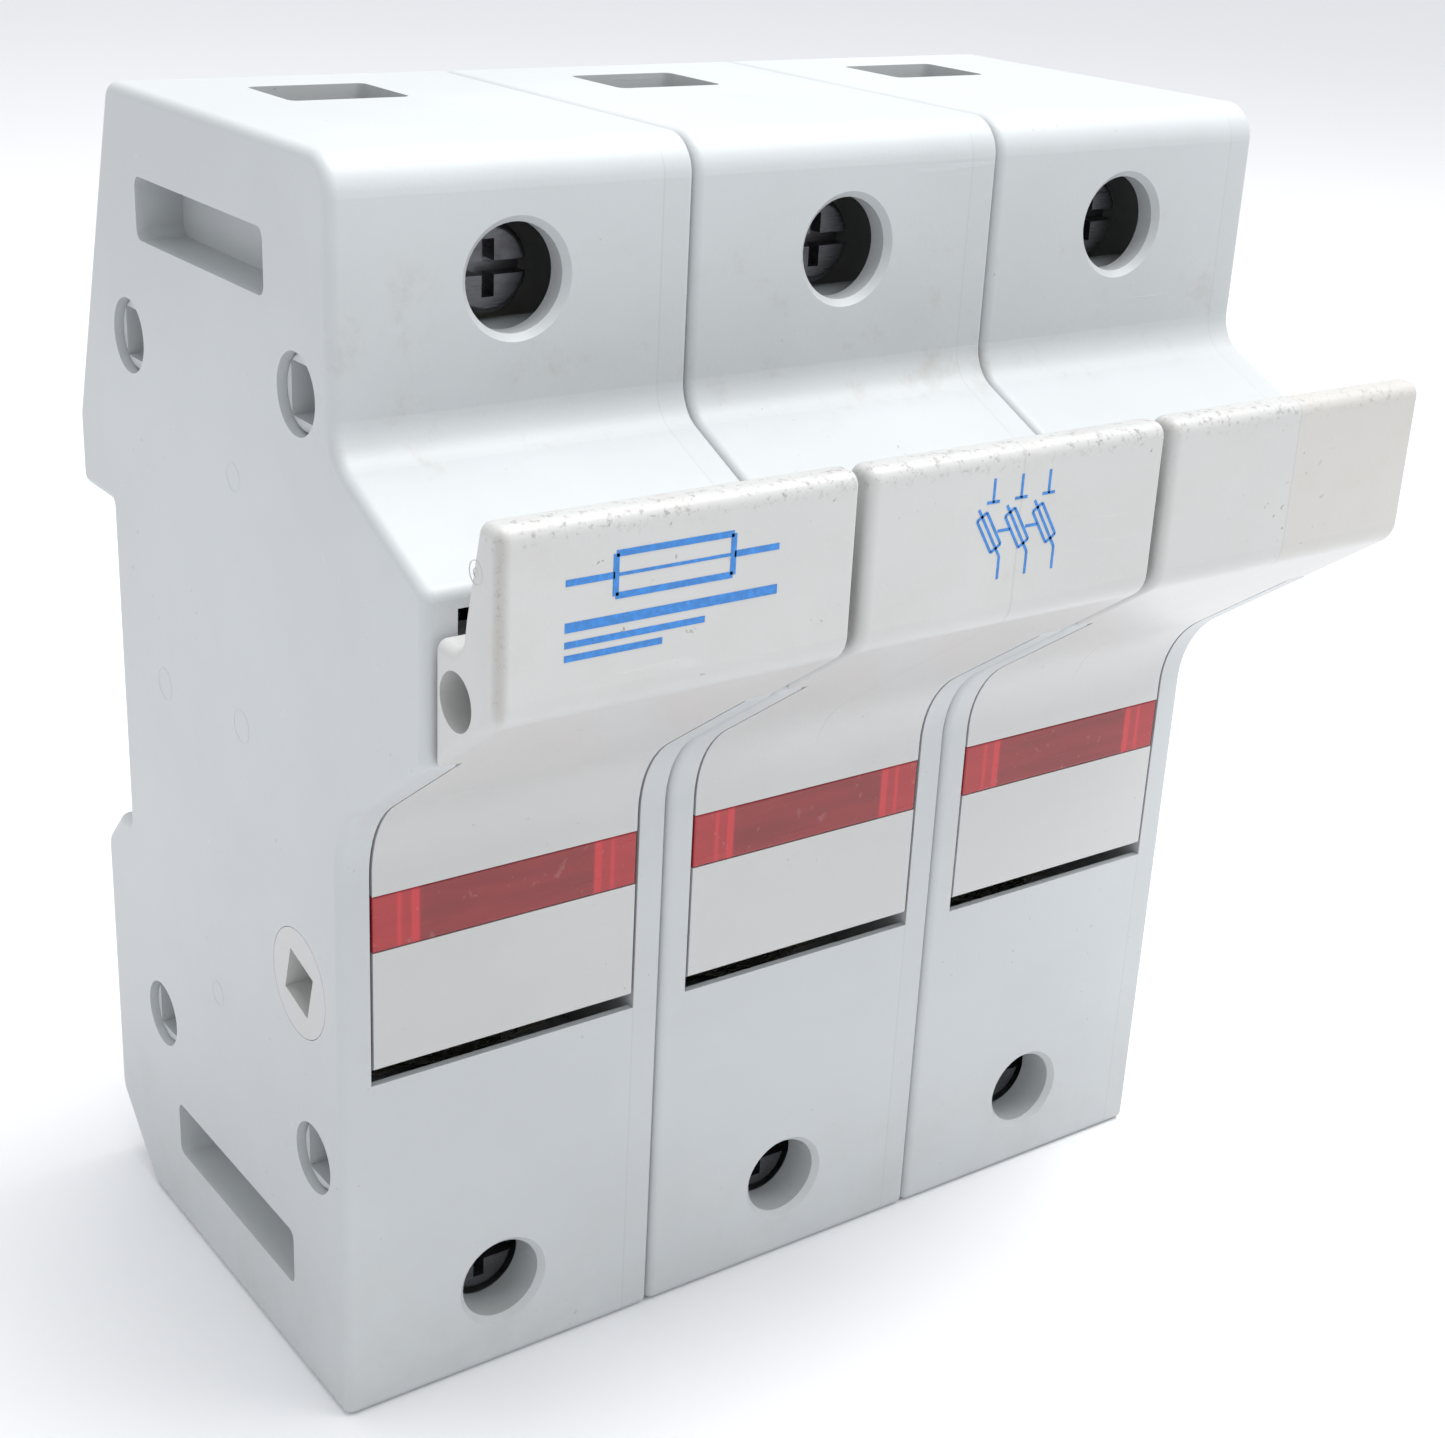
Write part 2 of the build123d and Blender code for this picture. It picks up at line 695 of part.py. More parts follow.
# ---------------------------------------------------------------- rail foot
def din_foot(centre):
    """Sliding latch of T section with a bevelled hook and a peg for its spring."""
    top = rail_slot_low + 1.8
    with BuildPart() as foot:
        with BuildSketch(level(foot_bottom)):
            bar(centre - foot_wide / 2, centre + foot_wide / 2, foot_depth,
                foot_depth + foot_front_thickness)
            bar(centre - foot_narrow / 2, centre + foot_narrow / 2, foot_depth, foot_back)
        extrude(amount=top - foot_bottom)
        chamfer(foot.faces().sort_by(Axis.Z)[-1].edges().sort_by(Axis.Y)[-1], 1.6)
        with BuildSketch(front(foot_depth + 0.1)):
            bar(centre - spring_pocket / 2 + foot_clearance, centre + spring_pocket / 2 - foot_clearance,
                spring_bottom + spring_length, spring_bottom + spring_length + 2.3)
        extrude(amount=spring_pocket - 0.5)
        with BuildSketch(front(foot_depth - 1)):
            bar(centre - 2.2, centre + 2.2, foot_bottom + 3.0, foot_bottom + 4.6)
        extrude(amount=-foot_back_thickness - foot_front_thickness - 2, mode=Mode.SUBTRACT)
    return foot.part


def foot_spring(centre):
    """Compression spring under the peg of the latch."""
    radius = (spring_coil - spring_wire) / 2
    middle = pocket_front - spring_pocket / 2
    low = spring_bottom + spring_wire / 2 + 0.05
    with BuildPart() as spring:
        with BuildLine(Plane(origin=(centre, front_y + middle, low))):
            Helix(spring_pitch, spring_length - spring_wire - 0.1, radius)
        with BuildSketch(Plane(origin=(centre + radius, front_y + middle, low), z_dir=(0, 1, 0))):
            Circle(spring_wire / 2)
        sweep(is_frenet=True)
    return spring.part


PIECES = {
    "housing_base": housing_base,
    "housing_cover": housing_cover,
    "housing_pins": housing_pins,
    "fuse_carrier": fuse_carrier,
    "indicator_lens": indicator_lens,
    "neon_lamp": neon_lamp,
    "indicator_board": indicator_board,
    "indicator_springs": indicator_springs,
    "fuse_tube": fuse_tube,
    "fuse_caps": fuse_caps,
    "upper_contact": upper_contact,
    "lower_contact": lower_contact,
    "upper_screw": lambda centre: clamp_screw(centre, upper_screw_height),
    "lower_screw": lambda centre: clamp_screw(centre, lower_screw_height),
    "upper_cage": lambda centre: clamp_cage(centre, upper_screw_height),
    "lower_cage": lambda centre: clamp_cage(centre, lower_screw_height),
    "din_foot": din_foot,
    "foot_spring": foot_spring,
}
for pole, place in POLES.items():
    for kind, build in PIECES.items():
        save(build(place * pitch), f"{kind}_{pole}")

# ---------------------------------------------------------------- ties between the poles
with BuildPart() as handle_tie_pins:
    for joint_x in (-pitch / 2, pitch / 2):
        with BuildSketch(side(joint_x - tie_length / 2)):
            with Locations((tie_depth, tie_height)):
                Circle(tie_bore / 2 - tie_clearance)
        extrude(amount=tie_length)
    chamfer(handle_tie_pins.edges().filter_by(GeomType.CIRCLE), 0.3)
save(handle_tie_pins.part, "handle_tie_pins")

with BuildPart() as pivot_links:
    for joint_x in (-pitch / 2, pitch / 2):
        with BuildSketch(side(joint_x - link_length / 2)):
            with Locations(Location((pivot_depth, pivot_height), socket_turn)):
                Rectangle(socket_side - 2 * tie_clearance, socket_side - 2 * tie_clearance)
        extrude(amount=link_length)
save(pivot_links.part, "pivot_links")
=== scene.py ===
import json
import math

import bmesh
import bpy
from mathutils import Matrix, Vector

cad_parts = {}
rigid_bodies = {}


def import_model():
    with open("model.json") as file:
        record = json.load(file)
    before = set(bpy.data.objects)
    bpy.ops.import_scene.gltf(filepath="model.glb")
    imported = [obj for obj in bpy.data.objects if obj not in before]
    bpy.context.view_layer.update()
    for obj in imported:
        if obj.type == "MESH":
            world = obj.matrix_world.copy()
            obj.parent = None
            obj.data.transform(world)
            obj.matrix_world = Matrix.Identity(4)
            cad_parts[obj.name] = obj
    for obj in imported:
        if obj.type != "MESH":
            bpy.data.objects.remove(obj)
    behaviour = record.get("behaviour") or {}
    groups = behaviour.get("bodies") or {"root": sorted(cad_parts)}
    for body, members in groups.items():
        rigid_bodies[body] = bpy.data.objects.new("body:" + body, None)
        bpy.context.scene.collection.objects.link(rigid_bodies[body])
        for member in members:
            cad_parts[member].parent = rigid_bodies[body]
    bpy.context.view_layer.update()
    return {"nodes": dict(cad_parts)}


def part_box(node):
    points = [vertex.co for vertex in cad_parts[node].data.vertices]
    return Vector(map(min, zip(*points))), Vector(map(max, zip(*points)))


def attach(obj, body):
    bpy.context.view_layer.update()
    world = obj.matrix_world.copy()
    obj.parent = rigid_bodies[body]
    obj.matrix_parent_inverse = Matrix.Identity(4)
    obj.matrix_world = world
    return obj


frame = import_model()

bl_info = {
    "name": "Cartridge Fuse Holder",
    "version": (1, 0, 0),
    "blender": (4, 5, 0),
    "location": "View3D > Sidebar > Fuse Holder",
    "description": "Finishes and small detail for a three-pole cartridge fuse holder",
    "category": "Object",
}

MM = 0.001
POLES = ("left", "centre", "right")
NODES = frame["nodes"]

# Across a pole, from its middle.
COVER_JOINT = 14.4 * MM
JOINT_HALF = 0.07 * MM
LENS_END = 14.5 * MM
GLOW_STRIP = (9.4 * MM, 10.1 * MM)
GLOW_EDGE = (11.2 * MM, 11.6 * MM)
LEAD_SPAN = (4.6 * MM, 8.0 * MM)
RING_SIDE = 16.85 * MM

# Heights above the underside.
HOLE_BAND = (92.0 * MM, 112.0 * MM)
HANDLE_LOW = 80.0 * MM
SEAM_LOW = 60.0 * MM
LENS_LOW = 50.3 * MM
LENS_HIGH = 56.0 * MM
LEAD_HEIGHT = 59.0 * MM
SIGN_HEIGHT = 93.0 * MM
FUSE_HEIGHT = 90.8 * MM
RING_HEIGHT = 93.8 * MM
WIDE_BANDS = ((49.0 * MM, 51.5 * MM), (69.5 * MM, 72.0 * MM))
THIN_BANDS = ((53.5 * MM, 53.9 * MM), (67.2 * MM, 67.6 * MM))

# Where the middles of the moulded seams and the worn patch on the handles lie, in X.
SEAMS = (35.0 * MM, 0.0)
SEAM_HALF = 0.1 * MM
WORN_FROM = 35.0 * MM

# Spacing of the linked fuses in the switch symbol.
SYMBOL_STEP = 3.2

# The camera: where it stands, and its three directions.
CAMERA_PLACE = (-0.13259, -0.17882, 0.14929)
CAMERA_RIGHT = Vector((0.81403, -0.57880, 0.04842))
CAMERA_DOWN = Vector((-0.18409, -0.33618, -0.92363))
CAMERA_AHEAD = Vector((0.55087, 0.74295, -0.38022))
FLOOR_REACH = 6.0
LIGHT_SIZE = 0.55
LIGHT_TARGET = (0.0, 0.0, 0.05)


def node_box(name):
    """Lowest and highest corner of a piece of the frame, in metres."""
    low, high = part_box(name)
    return Vector(low), Vector(high)


def pole_middle(pole):
    """X of the middle of one pole, halfway between the ends of its carrier."""
    low, high = node_box("fuse_carrier_" + pole)
    return (low.x + high.x) / 2


def off_middle(finish, pole):
    """Distance across from the middle of a pole, as a number in a shader."""
    return (finish.x - pole_middle(pole)).math("ABSOLUTE")


# ------------------------------------------------------------------ shader maths
class Value:
    """A number in a shader. Arithmetic on it adds the Math nodes that work it out."""

    def __init__(self, finish, socket):
        self.finish = finish
        self.socket = socket

    def math(self, operation, *others, clamp=False):
        sockets = {i: v for i, v in enumerate((self, *others))}
        settings = {"operation": operation, "use_clamp": clamp}
        return self.finish.node("ShaderNodeMath", settings, sockets).out(0)

    def reflected(self, operation, other):
        return self.finish.node("ShaderNodeMath", {"operation": operation}, {0: other, 1: self}).out(0)

    def __add__(self, other):
        return self.math("ADD", other)

    def __radd__(self, other):
        return self.reflected("ADD", other)

    def __sub__(self, other):
        return self.math("SUBTRACT", other)

    def __rsub__(self, other):
        return self.reflected("SUBTRACT", other)

    def __mul__(self, other):
        return self.math("MULTIPLY", other)

    def __rmul__(self, other):
        return self.reflected("MULTIPLY", other)

    def between(self, low, high, soft):
        """1 where the number lies between two limits, with soft ends."""
        return self.rise(low - soft, low + soft) * (1.0 - self.rise(high - soft, high + soft))

    def rise(self, low, high):
        """0 below the first number, 1 above the second, and smooth in between."""
        settings = {"interpolation_type": "SMOOTHSTEP", "clamp": True}
        return self.finish.node("ShaderNodeMapRange", settings, {0: self, 1: low, 2: high}).out(0)

    def clipped(self):
        """The number held between 0 and 1."""
        return self.math("ADD", 0.0, clamp=True)


class Made:
    """A node just made, whose outputs can be picked by place or by name."""

    def __init__(self, finish, item):
        self.finish = finish
        self.item = item

    def out(self, which=0):
        return Value(self.finish, self.item.outputs[which])


class Finish:
    """One procedural material and the nodes in it."""

    def __init__(self, name, preview):
        self.material = bpy.data.materials.new(name)
        self.material.use_nodes = True
        self.material.diffuse_color = (*preview, 1.0)
        self.tree = self.material.node_tree
        self.tree.nodes.clear()
        self.place = self.node("ShaderNodeTexCoord").out("Object")
        split = self.node("ShaderNodeSeparateXYZ", {}, {0: self.place})
        self.x, self.y, self.z = split.out(0), split.out(1), split.out(2)

    def node(self, kind, settings=None, sockets=None):
        """Add one node: its settings first, then the values or links of its sockets."""
        item = self.tree.nodes.new(kind)
        for key, value in (settings or {}).items():
            setattr(item, key, value)
        for key, value in (sockets or {}).items():
            if isinstance(value, Value):
                self.tree.links.new(value.socket, item.inputs[key])
            else:
                item.inputs[key].default_value = value
        return Made(self, item)

    def stretched(self, scale, turn=(0.0, 0.0, 0.0)):
        """The place on the piece, turned and stretched."""
        sockets = {"Vector": self.place, "Rotation": turn, "Scale": scale}
        return self.node("ShaderNodeMapping", {"vector_type": "POINT"}, sockets).out(0)

    def noise(self, scale, detail=4.0, rough=0.55, vector=None, shift=0.0):
        """Cloudy noise from 0 to 1, with the scale in lumps per metre."""
        sockets = {"Vector": vector or self.place, "Scale": scale, "Detail": detail,
                   "Roughness": rough, "W": shift}
        return self.node("ShaderNodeTexNoise", {"noise_dimensions": "4D"}, sockets).out(0)

    def blend(self, factor, first, second):
        """A colour that goes from the first to the second as the factor rises."""
        item = self.node("ShaderNodeMix", {"data_type": "RGBA"}, {0: factor})
        for socket, value in ((item.item.inputs[6], first), (item.item.inputs[7], second)):
            if isinstance(value, Value):
                self.tree.links.new(value.socket, socket)
            else:
                socket.default_value = (*value, 1.0)
        return item.out(2)

    def bump(self, height, depth, strength):
        """A normal from a height between 0 and about 1, over a depth in metres."""
        sockets = {"Strength": strength, "Distance": depth, "Height": height}
        return self.node("ShaderNodeBump", {}, sockets).out(0)

    def finish(self, colour, roughness, normal=None, metallic=0.0, **fixed):
        """Close the material with a principled surface; the fixed values stay constants."""
        sockets = {"Base Color": colour, "Roughness": roughness, "Metallic": metallic, **fixed}
        if normal is not None:
            sockets["Normal"] = normal
        surface = self.node("ShaderNodeBsdfPrincipled", {}, sockets).out(0)
        self.node("ShaderNodeOutputMaterial", {}, {0: surface})
        return self.material


def scaled(colour, k):
    """A colour made lighter or darker."""
    return tuple(min(1.0, c * k) for c in colour)


def scratches(finish, scale, turn, share=0.62):
    """Thin straight scratches in one direction, from 0 to 1."""
    along = finish.stretched((scale * 0.06, scale, scale), turn)
    return finish.noise(1.0, 2.0, 0.5, along).rise(share, share + 0.06)


def fine_plastic(name, base, rough=0.42, tone=0.035, dirt_and_shade=None, polish=0.0):
    """Moulded plastic: fine spark-eroded grain, faint flow clouds, scuffs and sparse specks."""
    f = Finish(name, base)
    cloud = f.noise(24.0, 5.0, 0.6)
    flow = f.noise(1.0, 3.0, 0.5, f.stretched((9.0, 9.0, 60.0), (0.0, 0.25, 0.1)), 3.0)
    colour = f.blend(cloud.rise(0.35, 0.65), scaled(base, 1 - tone), scaled(base, 1 + tone))
    colour = f.blend(flow.rise(0.5, 0.72) * 0.25, colour, scaled(base, 0.93))
    specks = f.noise(1500.0, 1.0, 0.5, None, 7.0).rise(0.735, 0.76) * f.noise(60.0, 2.0).rise(0.5, 0.62)
    colour = f.blend(specks * 0.35, colour, (0.16, 0.14, 0.12))
    scuff = scratches(f, 900.0, (0.3, 0.2, 0.6), 0.66) * f.noise(55.0, 2.0, 0.5, None, 2.0).rise(0.5, 0.65)
    colour = f.blend(scuff * 0.3, colour, scaled(base, 1.12))
    # Dirt laid over the colour; for the carriers this also paints shade on a fillet.
    if dirt_and_shade is not None:
        colour = dirt_and_shade(f, colour)
    grain = f.noise(2600.0, 2.0, 0.6)
    waves = f.noise(130.0, 2.0, 0.4, None, 11.0)
    height = grain * 0.6 + waves * 1.6 + scuff * 0.5
    roughness = rough + (cloud - 0.5) * 0.10 + (grain - 0.5) * 0.12 - scuff * 0.08
    return f.finish(colour, roughness.clipped(), f.bump(height, 0.00004, 0.55), 0.0,
                    **{"Specular IOR Level": 0.42, "Coat Weight": polish, "Coat Roughness": 0.25})


def housing_grime(f, colour):
    """Darker patches towards the bottom, smudges round the driver holes, the cover's joint line and a faint web
    of dirt.
    """
    # Darker towards the bottom, in patches.
    low = 1.0 - f.z.rise(0.0, 0.022)
    patches = low * f.noise(160.0, 4.0, 0.6, None, 4.0).rise(0.42, 0.7)
    colour = f.blend(patches * 0.22, colour, (0.42, 0.40, 0.37))
    around = f.z.between(*HOLE_BAND, 0.004) * f.y.between(-0.020, -0.012, 0.002)
    smudge = around * f.noise(210.0, 5.0, 0.7, None, 9.0).rise(0.53, 0.75)
    colour = f.blend(smudge * 0.30, colour, (0.36, 0.31, 0.25))
    for pole in POLES:
        joint = pole_middle(pole) + COVER_JOINT
        front = 1.0 - f.y.rise(-0.016, -0.010)
        line = f.x.between(joint - JOINT_HALF, joint + JOINT_HALF, 0.04 * MM) * front
        colour = f.blend(line * 0.28, colour, (0.36, 0.36, 0.36))
    web = f.noise(420.0, 6.0, 0.75, None, 5.0).rise(0.6, 0.78)
    web = web * f.noise(35.0, 2.0, 0.5, None, 6.0).rise(0.52, 0.6)
    return f.blend(web * 0.16, colour, (0.33, 0.30, 0.27))


def carrier_dirt_and_shade(f, colour):
    """Finger dirt on the handles, painted shade flecked with dirt on the front-left fillet of the first handle,
    a worn patch on the last one, and the moulded seams.
    """
    top = f.z.rise(0.0955, 0.0978) * (1.0 - f.y.rise(-0.0400, -0.0385))
    speck = f.noise(1300.0, 5.0, 0.8, None, 1.0).rise(0.52, 0.66)
    colour = f.blend(top * speck * 0.7, colour, (0.17, 0.15, 0.13))
    # Painted shade along the front-left fillet of the first handle, flecked with dirt specks.
    shaded_fillet = (1.0 - f.y.rise(-0.0412, -0.0404)) * (1.0 - f.x.rise(-0.0516, -0.0506))
    shaded_fillet = shaded_fillet * f.z.rise(HANDLE_LOW, HANDLE_LOW + 2.0 * MM)
    colour = f.blend(shaded_fillet * (0.35 + speck * 0.5), colour, (0.30, 0.27, 0.23))
    front = (1.0 - f.y.rise(-0.0395, -0.0375)) * f.z.rise(HANDLE_LOW, HANDLE_LOW + 4.0 * MM)
    film = f.noise(150.0, 6.0, 0.7, None, 12.0).rise(0.45, 0.8)
    colour = f.blend(front * film * 0.22, colour, (0.40, 0.36, 0.31))
    dots = f.noise(900.0, 3.0, 0.6, None, 15.0).rise(0.66, 0.7)
    dots = dots * f.noise(70.0, 2.0, 0.5, None, 14.0).rise(0.5, 0.6)
    colour = f.blend((front * 0.5 + 0.12) * dots, colour, (0.15, 0.13, 0.11))
    worn = f.x.rise(WORN_FROM, WORN_FROM + 0.4 * MM) * front
    colour = f.blend(worn * 0.30, colour, (0.50, 0.46, 0.40))
    first, second = (f.x.between(x - SEAM_HALF, x + SEAM_HALF, SEAM_HALF) for x in SEAMS)
    seam = (first + second) * f.z.rise(SEAM_LOW, SEAM_LOW + 4.0 * MM)
    return f.blend(seam.clipped() * 0.30, colour, (0.33, 0.32, 0.30))


def brushed(name, base, rough, turn, stain, metallic=1.0):
    """Plated metal with a drawn grain, fine scratches and blotches of tarnish."""
    f = Finish(name, base)
    grain = f.noise(1.0, 3.0, 0.6, f.stretched((300.0, 5200.0, 5200.0), turn))
    blotch = f.noise(240.0, 5.0, 0.65, None, 3.0).rise(0.48, 0.72)
    scratch = scratches(f, 2600.0, (0.5, 0.2, 0.9))
    colour = f.blend(grain.rise(0.3, 0.7), scaled(base, 0.88), scaled(base, 1.06))
    colour = f.blend(blotch * 0.5, colour, stain)
    colour = f.blend(scratch * 0.4, colour, scaled(base, 1.25))
    roughness = rough + (grain - 0.5) * 0.22 + blotch * 0.16 - scratch * 0.1
    return f.finish(colour, roughness.clipped(), f.bump(grain + scratch * 0.8, 0.00003, 0.5), metallic)


def lens_red(base):
    """Clear red plastic over a dark inside, brighter where the light comes up through the two ends, with
    painted shade along the top and bottom rims.
    """
    f = Finish("lens_red", base)
    ends = None
    for pole in POLES:
        away = off_middle(f, pole)
        here = 1.0 - away.rise(LENS_END, LENS_END + 0.5 * MM)
        strip = away.between(*GLOW_STRIP, 0.2 * MM) + away.between(*GLOW_EDGE, 0.2 * MM) * 0.6
        side = away.rise(0.0090, 0.0098) * 0.45
        ends = (strip + side) * here if ends is None else ends + (strip + side) * here
    # Painted shade along the top and bottom rims of the lens.
    shaded_rim_low = 1.0 - f.z.rise(LENS_LOW, LENS_LOW + 0.6 * MM)
    shaded_rim_high = f.z.rise(LENS_HIGH - 0.6 * MM, LENS_HIGH)
    inner = f.noise(1.0, 3.0, 0.5, f.stretched((90.0, 90.0, 520.0)), 2.0)
    colour = f.blend(inner.rise(0.3, 0.7), scaled(base, 0.86), scaled(base, 1.1))
    colour = f.blend(ends.clipped() * 0.7, colour, (0.62, 0.025, 0.035))
    colour = f.blend((shaded_rim_low + shaded_rim_high) * 0.35, colour, (0.30, 0.03, 0.04))
    # Dust on the lens, in light patches.
    patches = f.noise(700.0, 4.0, 0.6, None, 5.0).rise(0.60, 0.72)
    colour = f.blend(patches * 0.12, colour, (0.55, 0.42, 0.40))
    scratch = scratches(f, 1500.0, (0.1, 0.9, 0.2))
    roughness = 0.20 + patches * 0.18 + scratch * 0.12
    return f.finish(colour, roughness.clipped(), f.bump(inner * 0.5 + scratch, 0.00003, 0.4), 0.0,
                    **{"Coat Weight": 0.25, "Coat Roughness": 0.12, "IOR": 1.45})


def glazed(name, base, speckle, stain):
    """Glazed ceramic with pinholes and a faint kiln tone."""
    f = Finish(name, base)
    tone = f.noise(90.0, 4.0, 0.6)
    pin = f.noise(1700.0, 1.0, 0.5, None, 6.0).rise(0.72, 0.75)
    ring = f.noise(1.0, 2.0, 0.5, f.stretched((20.0, 20.0, 900.0)), 3.0)
    colour = f.blend(tone.rise(0.35, 0.7), base, stain)
    colour = f.blend(pin * 0.5, colour, speckle)
    roughness = 0.28 + (tone - 0.5) * 0.1 + pin * 0.3
    return f.finish(colour, roughness.clipped(), f.bump(ring * 0.6 + tone * 0.5 - pin, 0.00004, 0.4), 0.0,
                    **{"Coat Weight": 0.35, "Coat Roughness": 0.15})


def lamp_glass():
    """Thick glass with a warm glow where the electrodes stand, and tinned leads outside it."""
    f = Finish("lamp_glass", (0.8, 0.74, 0.68))
    wire = None
    for pole in POLES:
        here = off_middle(f, pole).between(*LEAD_SPAN, 0.2 * MM)
        wire = here if wire is None else wire + here
    wire = (wire + f.z.rise(0.0548, 0.0552)).clipped()
    band = f.noise(1.0, 2.0, 0.5, f.stretched((900.0, 60.0, 60.0)))
    colour = f.blend(band.rise(0.4, 0.7), (0.78, 0.70, 0.62), (0.52, 0.30, 0.20))
    colour = f.blend(wire, colour, (0.62, 0.61, 0.60))
    return f.finish(colour, 0.08 + wire * 0.25 + band * 0.05, f.bump(band, 0.00003, 0.3), wire,
                    **{"Coat Weight": 0.8, "Coat Roughness": 0.03})


def laminate():
    """Lacquered brown laminate with a woven grain and tinned tracks; the resistor is pale."""
    f = Finish("laminate", (0.35, 0.25, 0.12))
    weave = f.noise(1.0, 2.0, 0.5, f.stretched((2600.0, 2600.0, 500.0)))
    colour = f.blend(weave, (0.30, 0.20, 0.09), (0.42, 0.30, 0.15))
    tracks = f.z.between(0.0586, 0.0594, 0.0001) + f.z.between(0.0644, 0.0650, 0.0001)
    behind = f.y.rise(-0.0115, -0.0114)
    colour = f.blend(tracks.clipped() * (1.0 - behind), colour, (0.58, 0.56, 0.52))
    colour = f.blend(behind, colour, (0.62, 0.52, 0.38))
    tinned = tracks.clipped() * (1.0 - behind)
    return f.finish(colour, 0.32 + weave * 0.2, f.bump(weave, 0.00004, 0.4), tinned,
                    **{"Coat Weight": 0.3, "Coat Roughness": 0.2})


def printed_ink(base):
    """Pad-printed ink: slightly uneven cover, worn thin in small spots."""
    f = Finish("printed_ink", base)
    cover = f.noise(1900.0, 3.0, 0.6).rise(0.30, 0.62)
    worn = f.noise(420.0, 5.0, 0.7, None, 4.0).rise(0.62, 0.74)
    colour = f.blend(cover, scaled(base, 1.35), base)
    colour = f.blend(worn * 0.45, colour, (0.42, 0.50, 0.58))
    return f.finish(colour, 0.36 + worn * 0.2, f.bump(cover, 0.00002, 0.4))


def label_paper():
    """Cream label with plain coloured bands."""
    f = Finish("label_paper", (0.78, 0.74, 0.62))
    fibre = f.noise(1.0, 4.0, 0.6, f.stretched((900.0, 900.0, 2400.0)))
    base = f.blend(fibre, (0.72, 0.67, 0.54), (0.82, 0.78, 0.66))
    low_band, high_band = (f.z.between(*band, 0.1 * MM) for band in WIDE_BANDS)
    bands = low_band + high_band
    low_line, high_line = (f.z.between(*band, 0.08 * MM) for band in THIN_BANDS)
    thin = low_line + high_line
    colour = f.blend((bands + thin).clipped() * (0.85 + fibre * 0.15), base, (0.05, 0.13, 0.34))
    return f.finish(colour, 0.5 + fibre * 0.15, f.bump(fibre, 0.00004, 0.4))


def floor_finish(base):
    """Pale board with a very faint tone."""
    f = Finish("floor_board", base)
    tone = f.noise(3.0, 3.0, 0.5)
    colour = f.blend(tone, scaled(base, 0.99), scaled(base, 1.01))
    return f.finish(colour, 0.75 + tone * 0.05, f.bump(f.noise(400.0, 3.0), 0.00005, 0.1))


# ------------------------------------------------------------------ meshes
def dress(names, material):
    """Give pieces of the frame their material."""
    for name in names:
        mesh = NODES[name].data
        mesh.materials.clear()
        mesh.materials.append(material)
        mesh.polygons.foreach_set("material_index", [0] * len(mesh.polygons))


def link_mesh(name, bm, material):
    """Turn a bmesh into an object at the origin."""
    bmesh.ops.recalc_face_normals(bm, faces=bm.faces)
    mesh = bpy.data.meshes.new(name)
    bm.to_mesh(mesh)
    bm.free()
    mesh.materials.append(material)
    thing = bpy.data.objects.new(name, mesh)
    bpy.context.collection.objects.link(thing)
    return thing


def ink_shape(bm, corners, front, thickness):
    """One printed area: a thin slab between the plane at front and a little before it."""
    ring_back = [bm.verts.new((x, front, z)) for x, z in corners]
    ring_front = [bm.verts.new((x, front - thickness, z)) for x, z in corners]
    bm.faces.new(ring_front)
    bm.faces.new(reversed(ring_back))
    count = len(corners)
    for i in range(count):
        j = (i + 1) % count
        bm.faces.new((ring_front[i], ring_back[i], ring_back[j], ring_front[j]))


def ink_line(bm, start, end, width, front, thickness):
    """A straight printed line with square ends."""
    run = Vector(end) - Vector(start)
    side = Vector((-run.y, run.x)).normalized() * (width / 2)
    a, b = Vector(start), Vector(end)
    ink_shape(bm, [a + side, a - side, b - side, b + side], front, thickness)


def ink_frame(bm, centre, direction, length, width, line, front, thickness):
    """The outline of a turned rectangle, in four lines."""
    along = Vector(direction).normalized() * (length / 2)
    across = Vector((-along.y, along.x)).normalized() * (width / 2)
    c = Vector(centre)
    corners = [c + along + across, c + along - across, c - along - across, c - along + across]
    for i in range(4):
        ink_line(bm, corners[i], corners[(i + 1) % 4], line, front, thickness)


def ring(bm, centre, axis, radius, thick, steps=28, around=8):
    """A closed ring of round section about an axis."""
    turn = Vector((0, 0, 1)).rotation_difference(Vector(axis)).to_matrix()
    loops = []
    for i in range(steps):
        a = 2 * math.pi * i / steps
        loop = []
        for j in range(around):
            b = 2 * math.pi * j / around
            r = radius + thick * math.cos(b)
            p = turn @ Vector((r * math.cos(a), r * math.sin(a), thick * math.sin(b)))
            loop.append(bm.verts.new(Vector(centre) + p))
        loops.append(loop)
    for i in range(steps):
        for j in range(around):
            k, m = (i + 1) % steps, (j + 1) % around
            bm.faces.new((loops[i][j], loops[k][j], loops[k][m], loops[i][m]))


def lathe(bm, centre, axis, profile, steps=32):
    """A turned shape from (radius, distance along the axis) pairs; ends on the axis are closed."""
    turn = Vector((0, 0, 1)).rotation_difference(Vector(axis)).to_matrix()
    loops = []
    for radius, along in profile:
        if radius <= 0:
            loops.append([bm.verts.new(Vector(centre) + turn @ Vector((0, 0, along)))])
            continue
        loops.append([bm.verts.new(Vector(centre) + turn @ Vector((
            radius * math.cos(2 * math.pi * i / steps), radius * math.sin(2 * math.pi * i / steps), along)))
            for i in range(steps)])
    for first, second in zip(loops, loops[1:]):
        for i in range(steps):
            j = (i + 1) % steps
            quad = [first[i % len(first)], first[j % len(first)],
                    second[j % len(second)], second[i % len(second)]]
            bm.faces.new(list(dict.fromkeys(quad)))


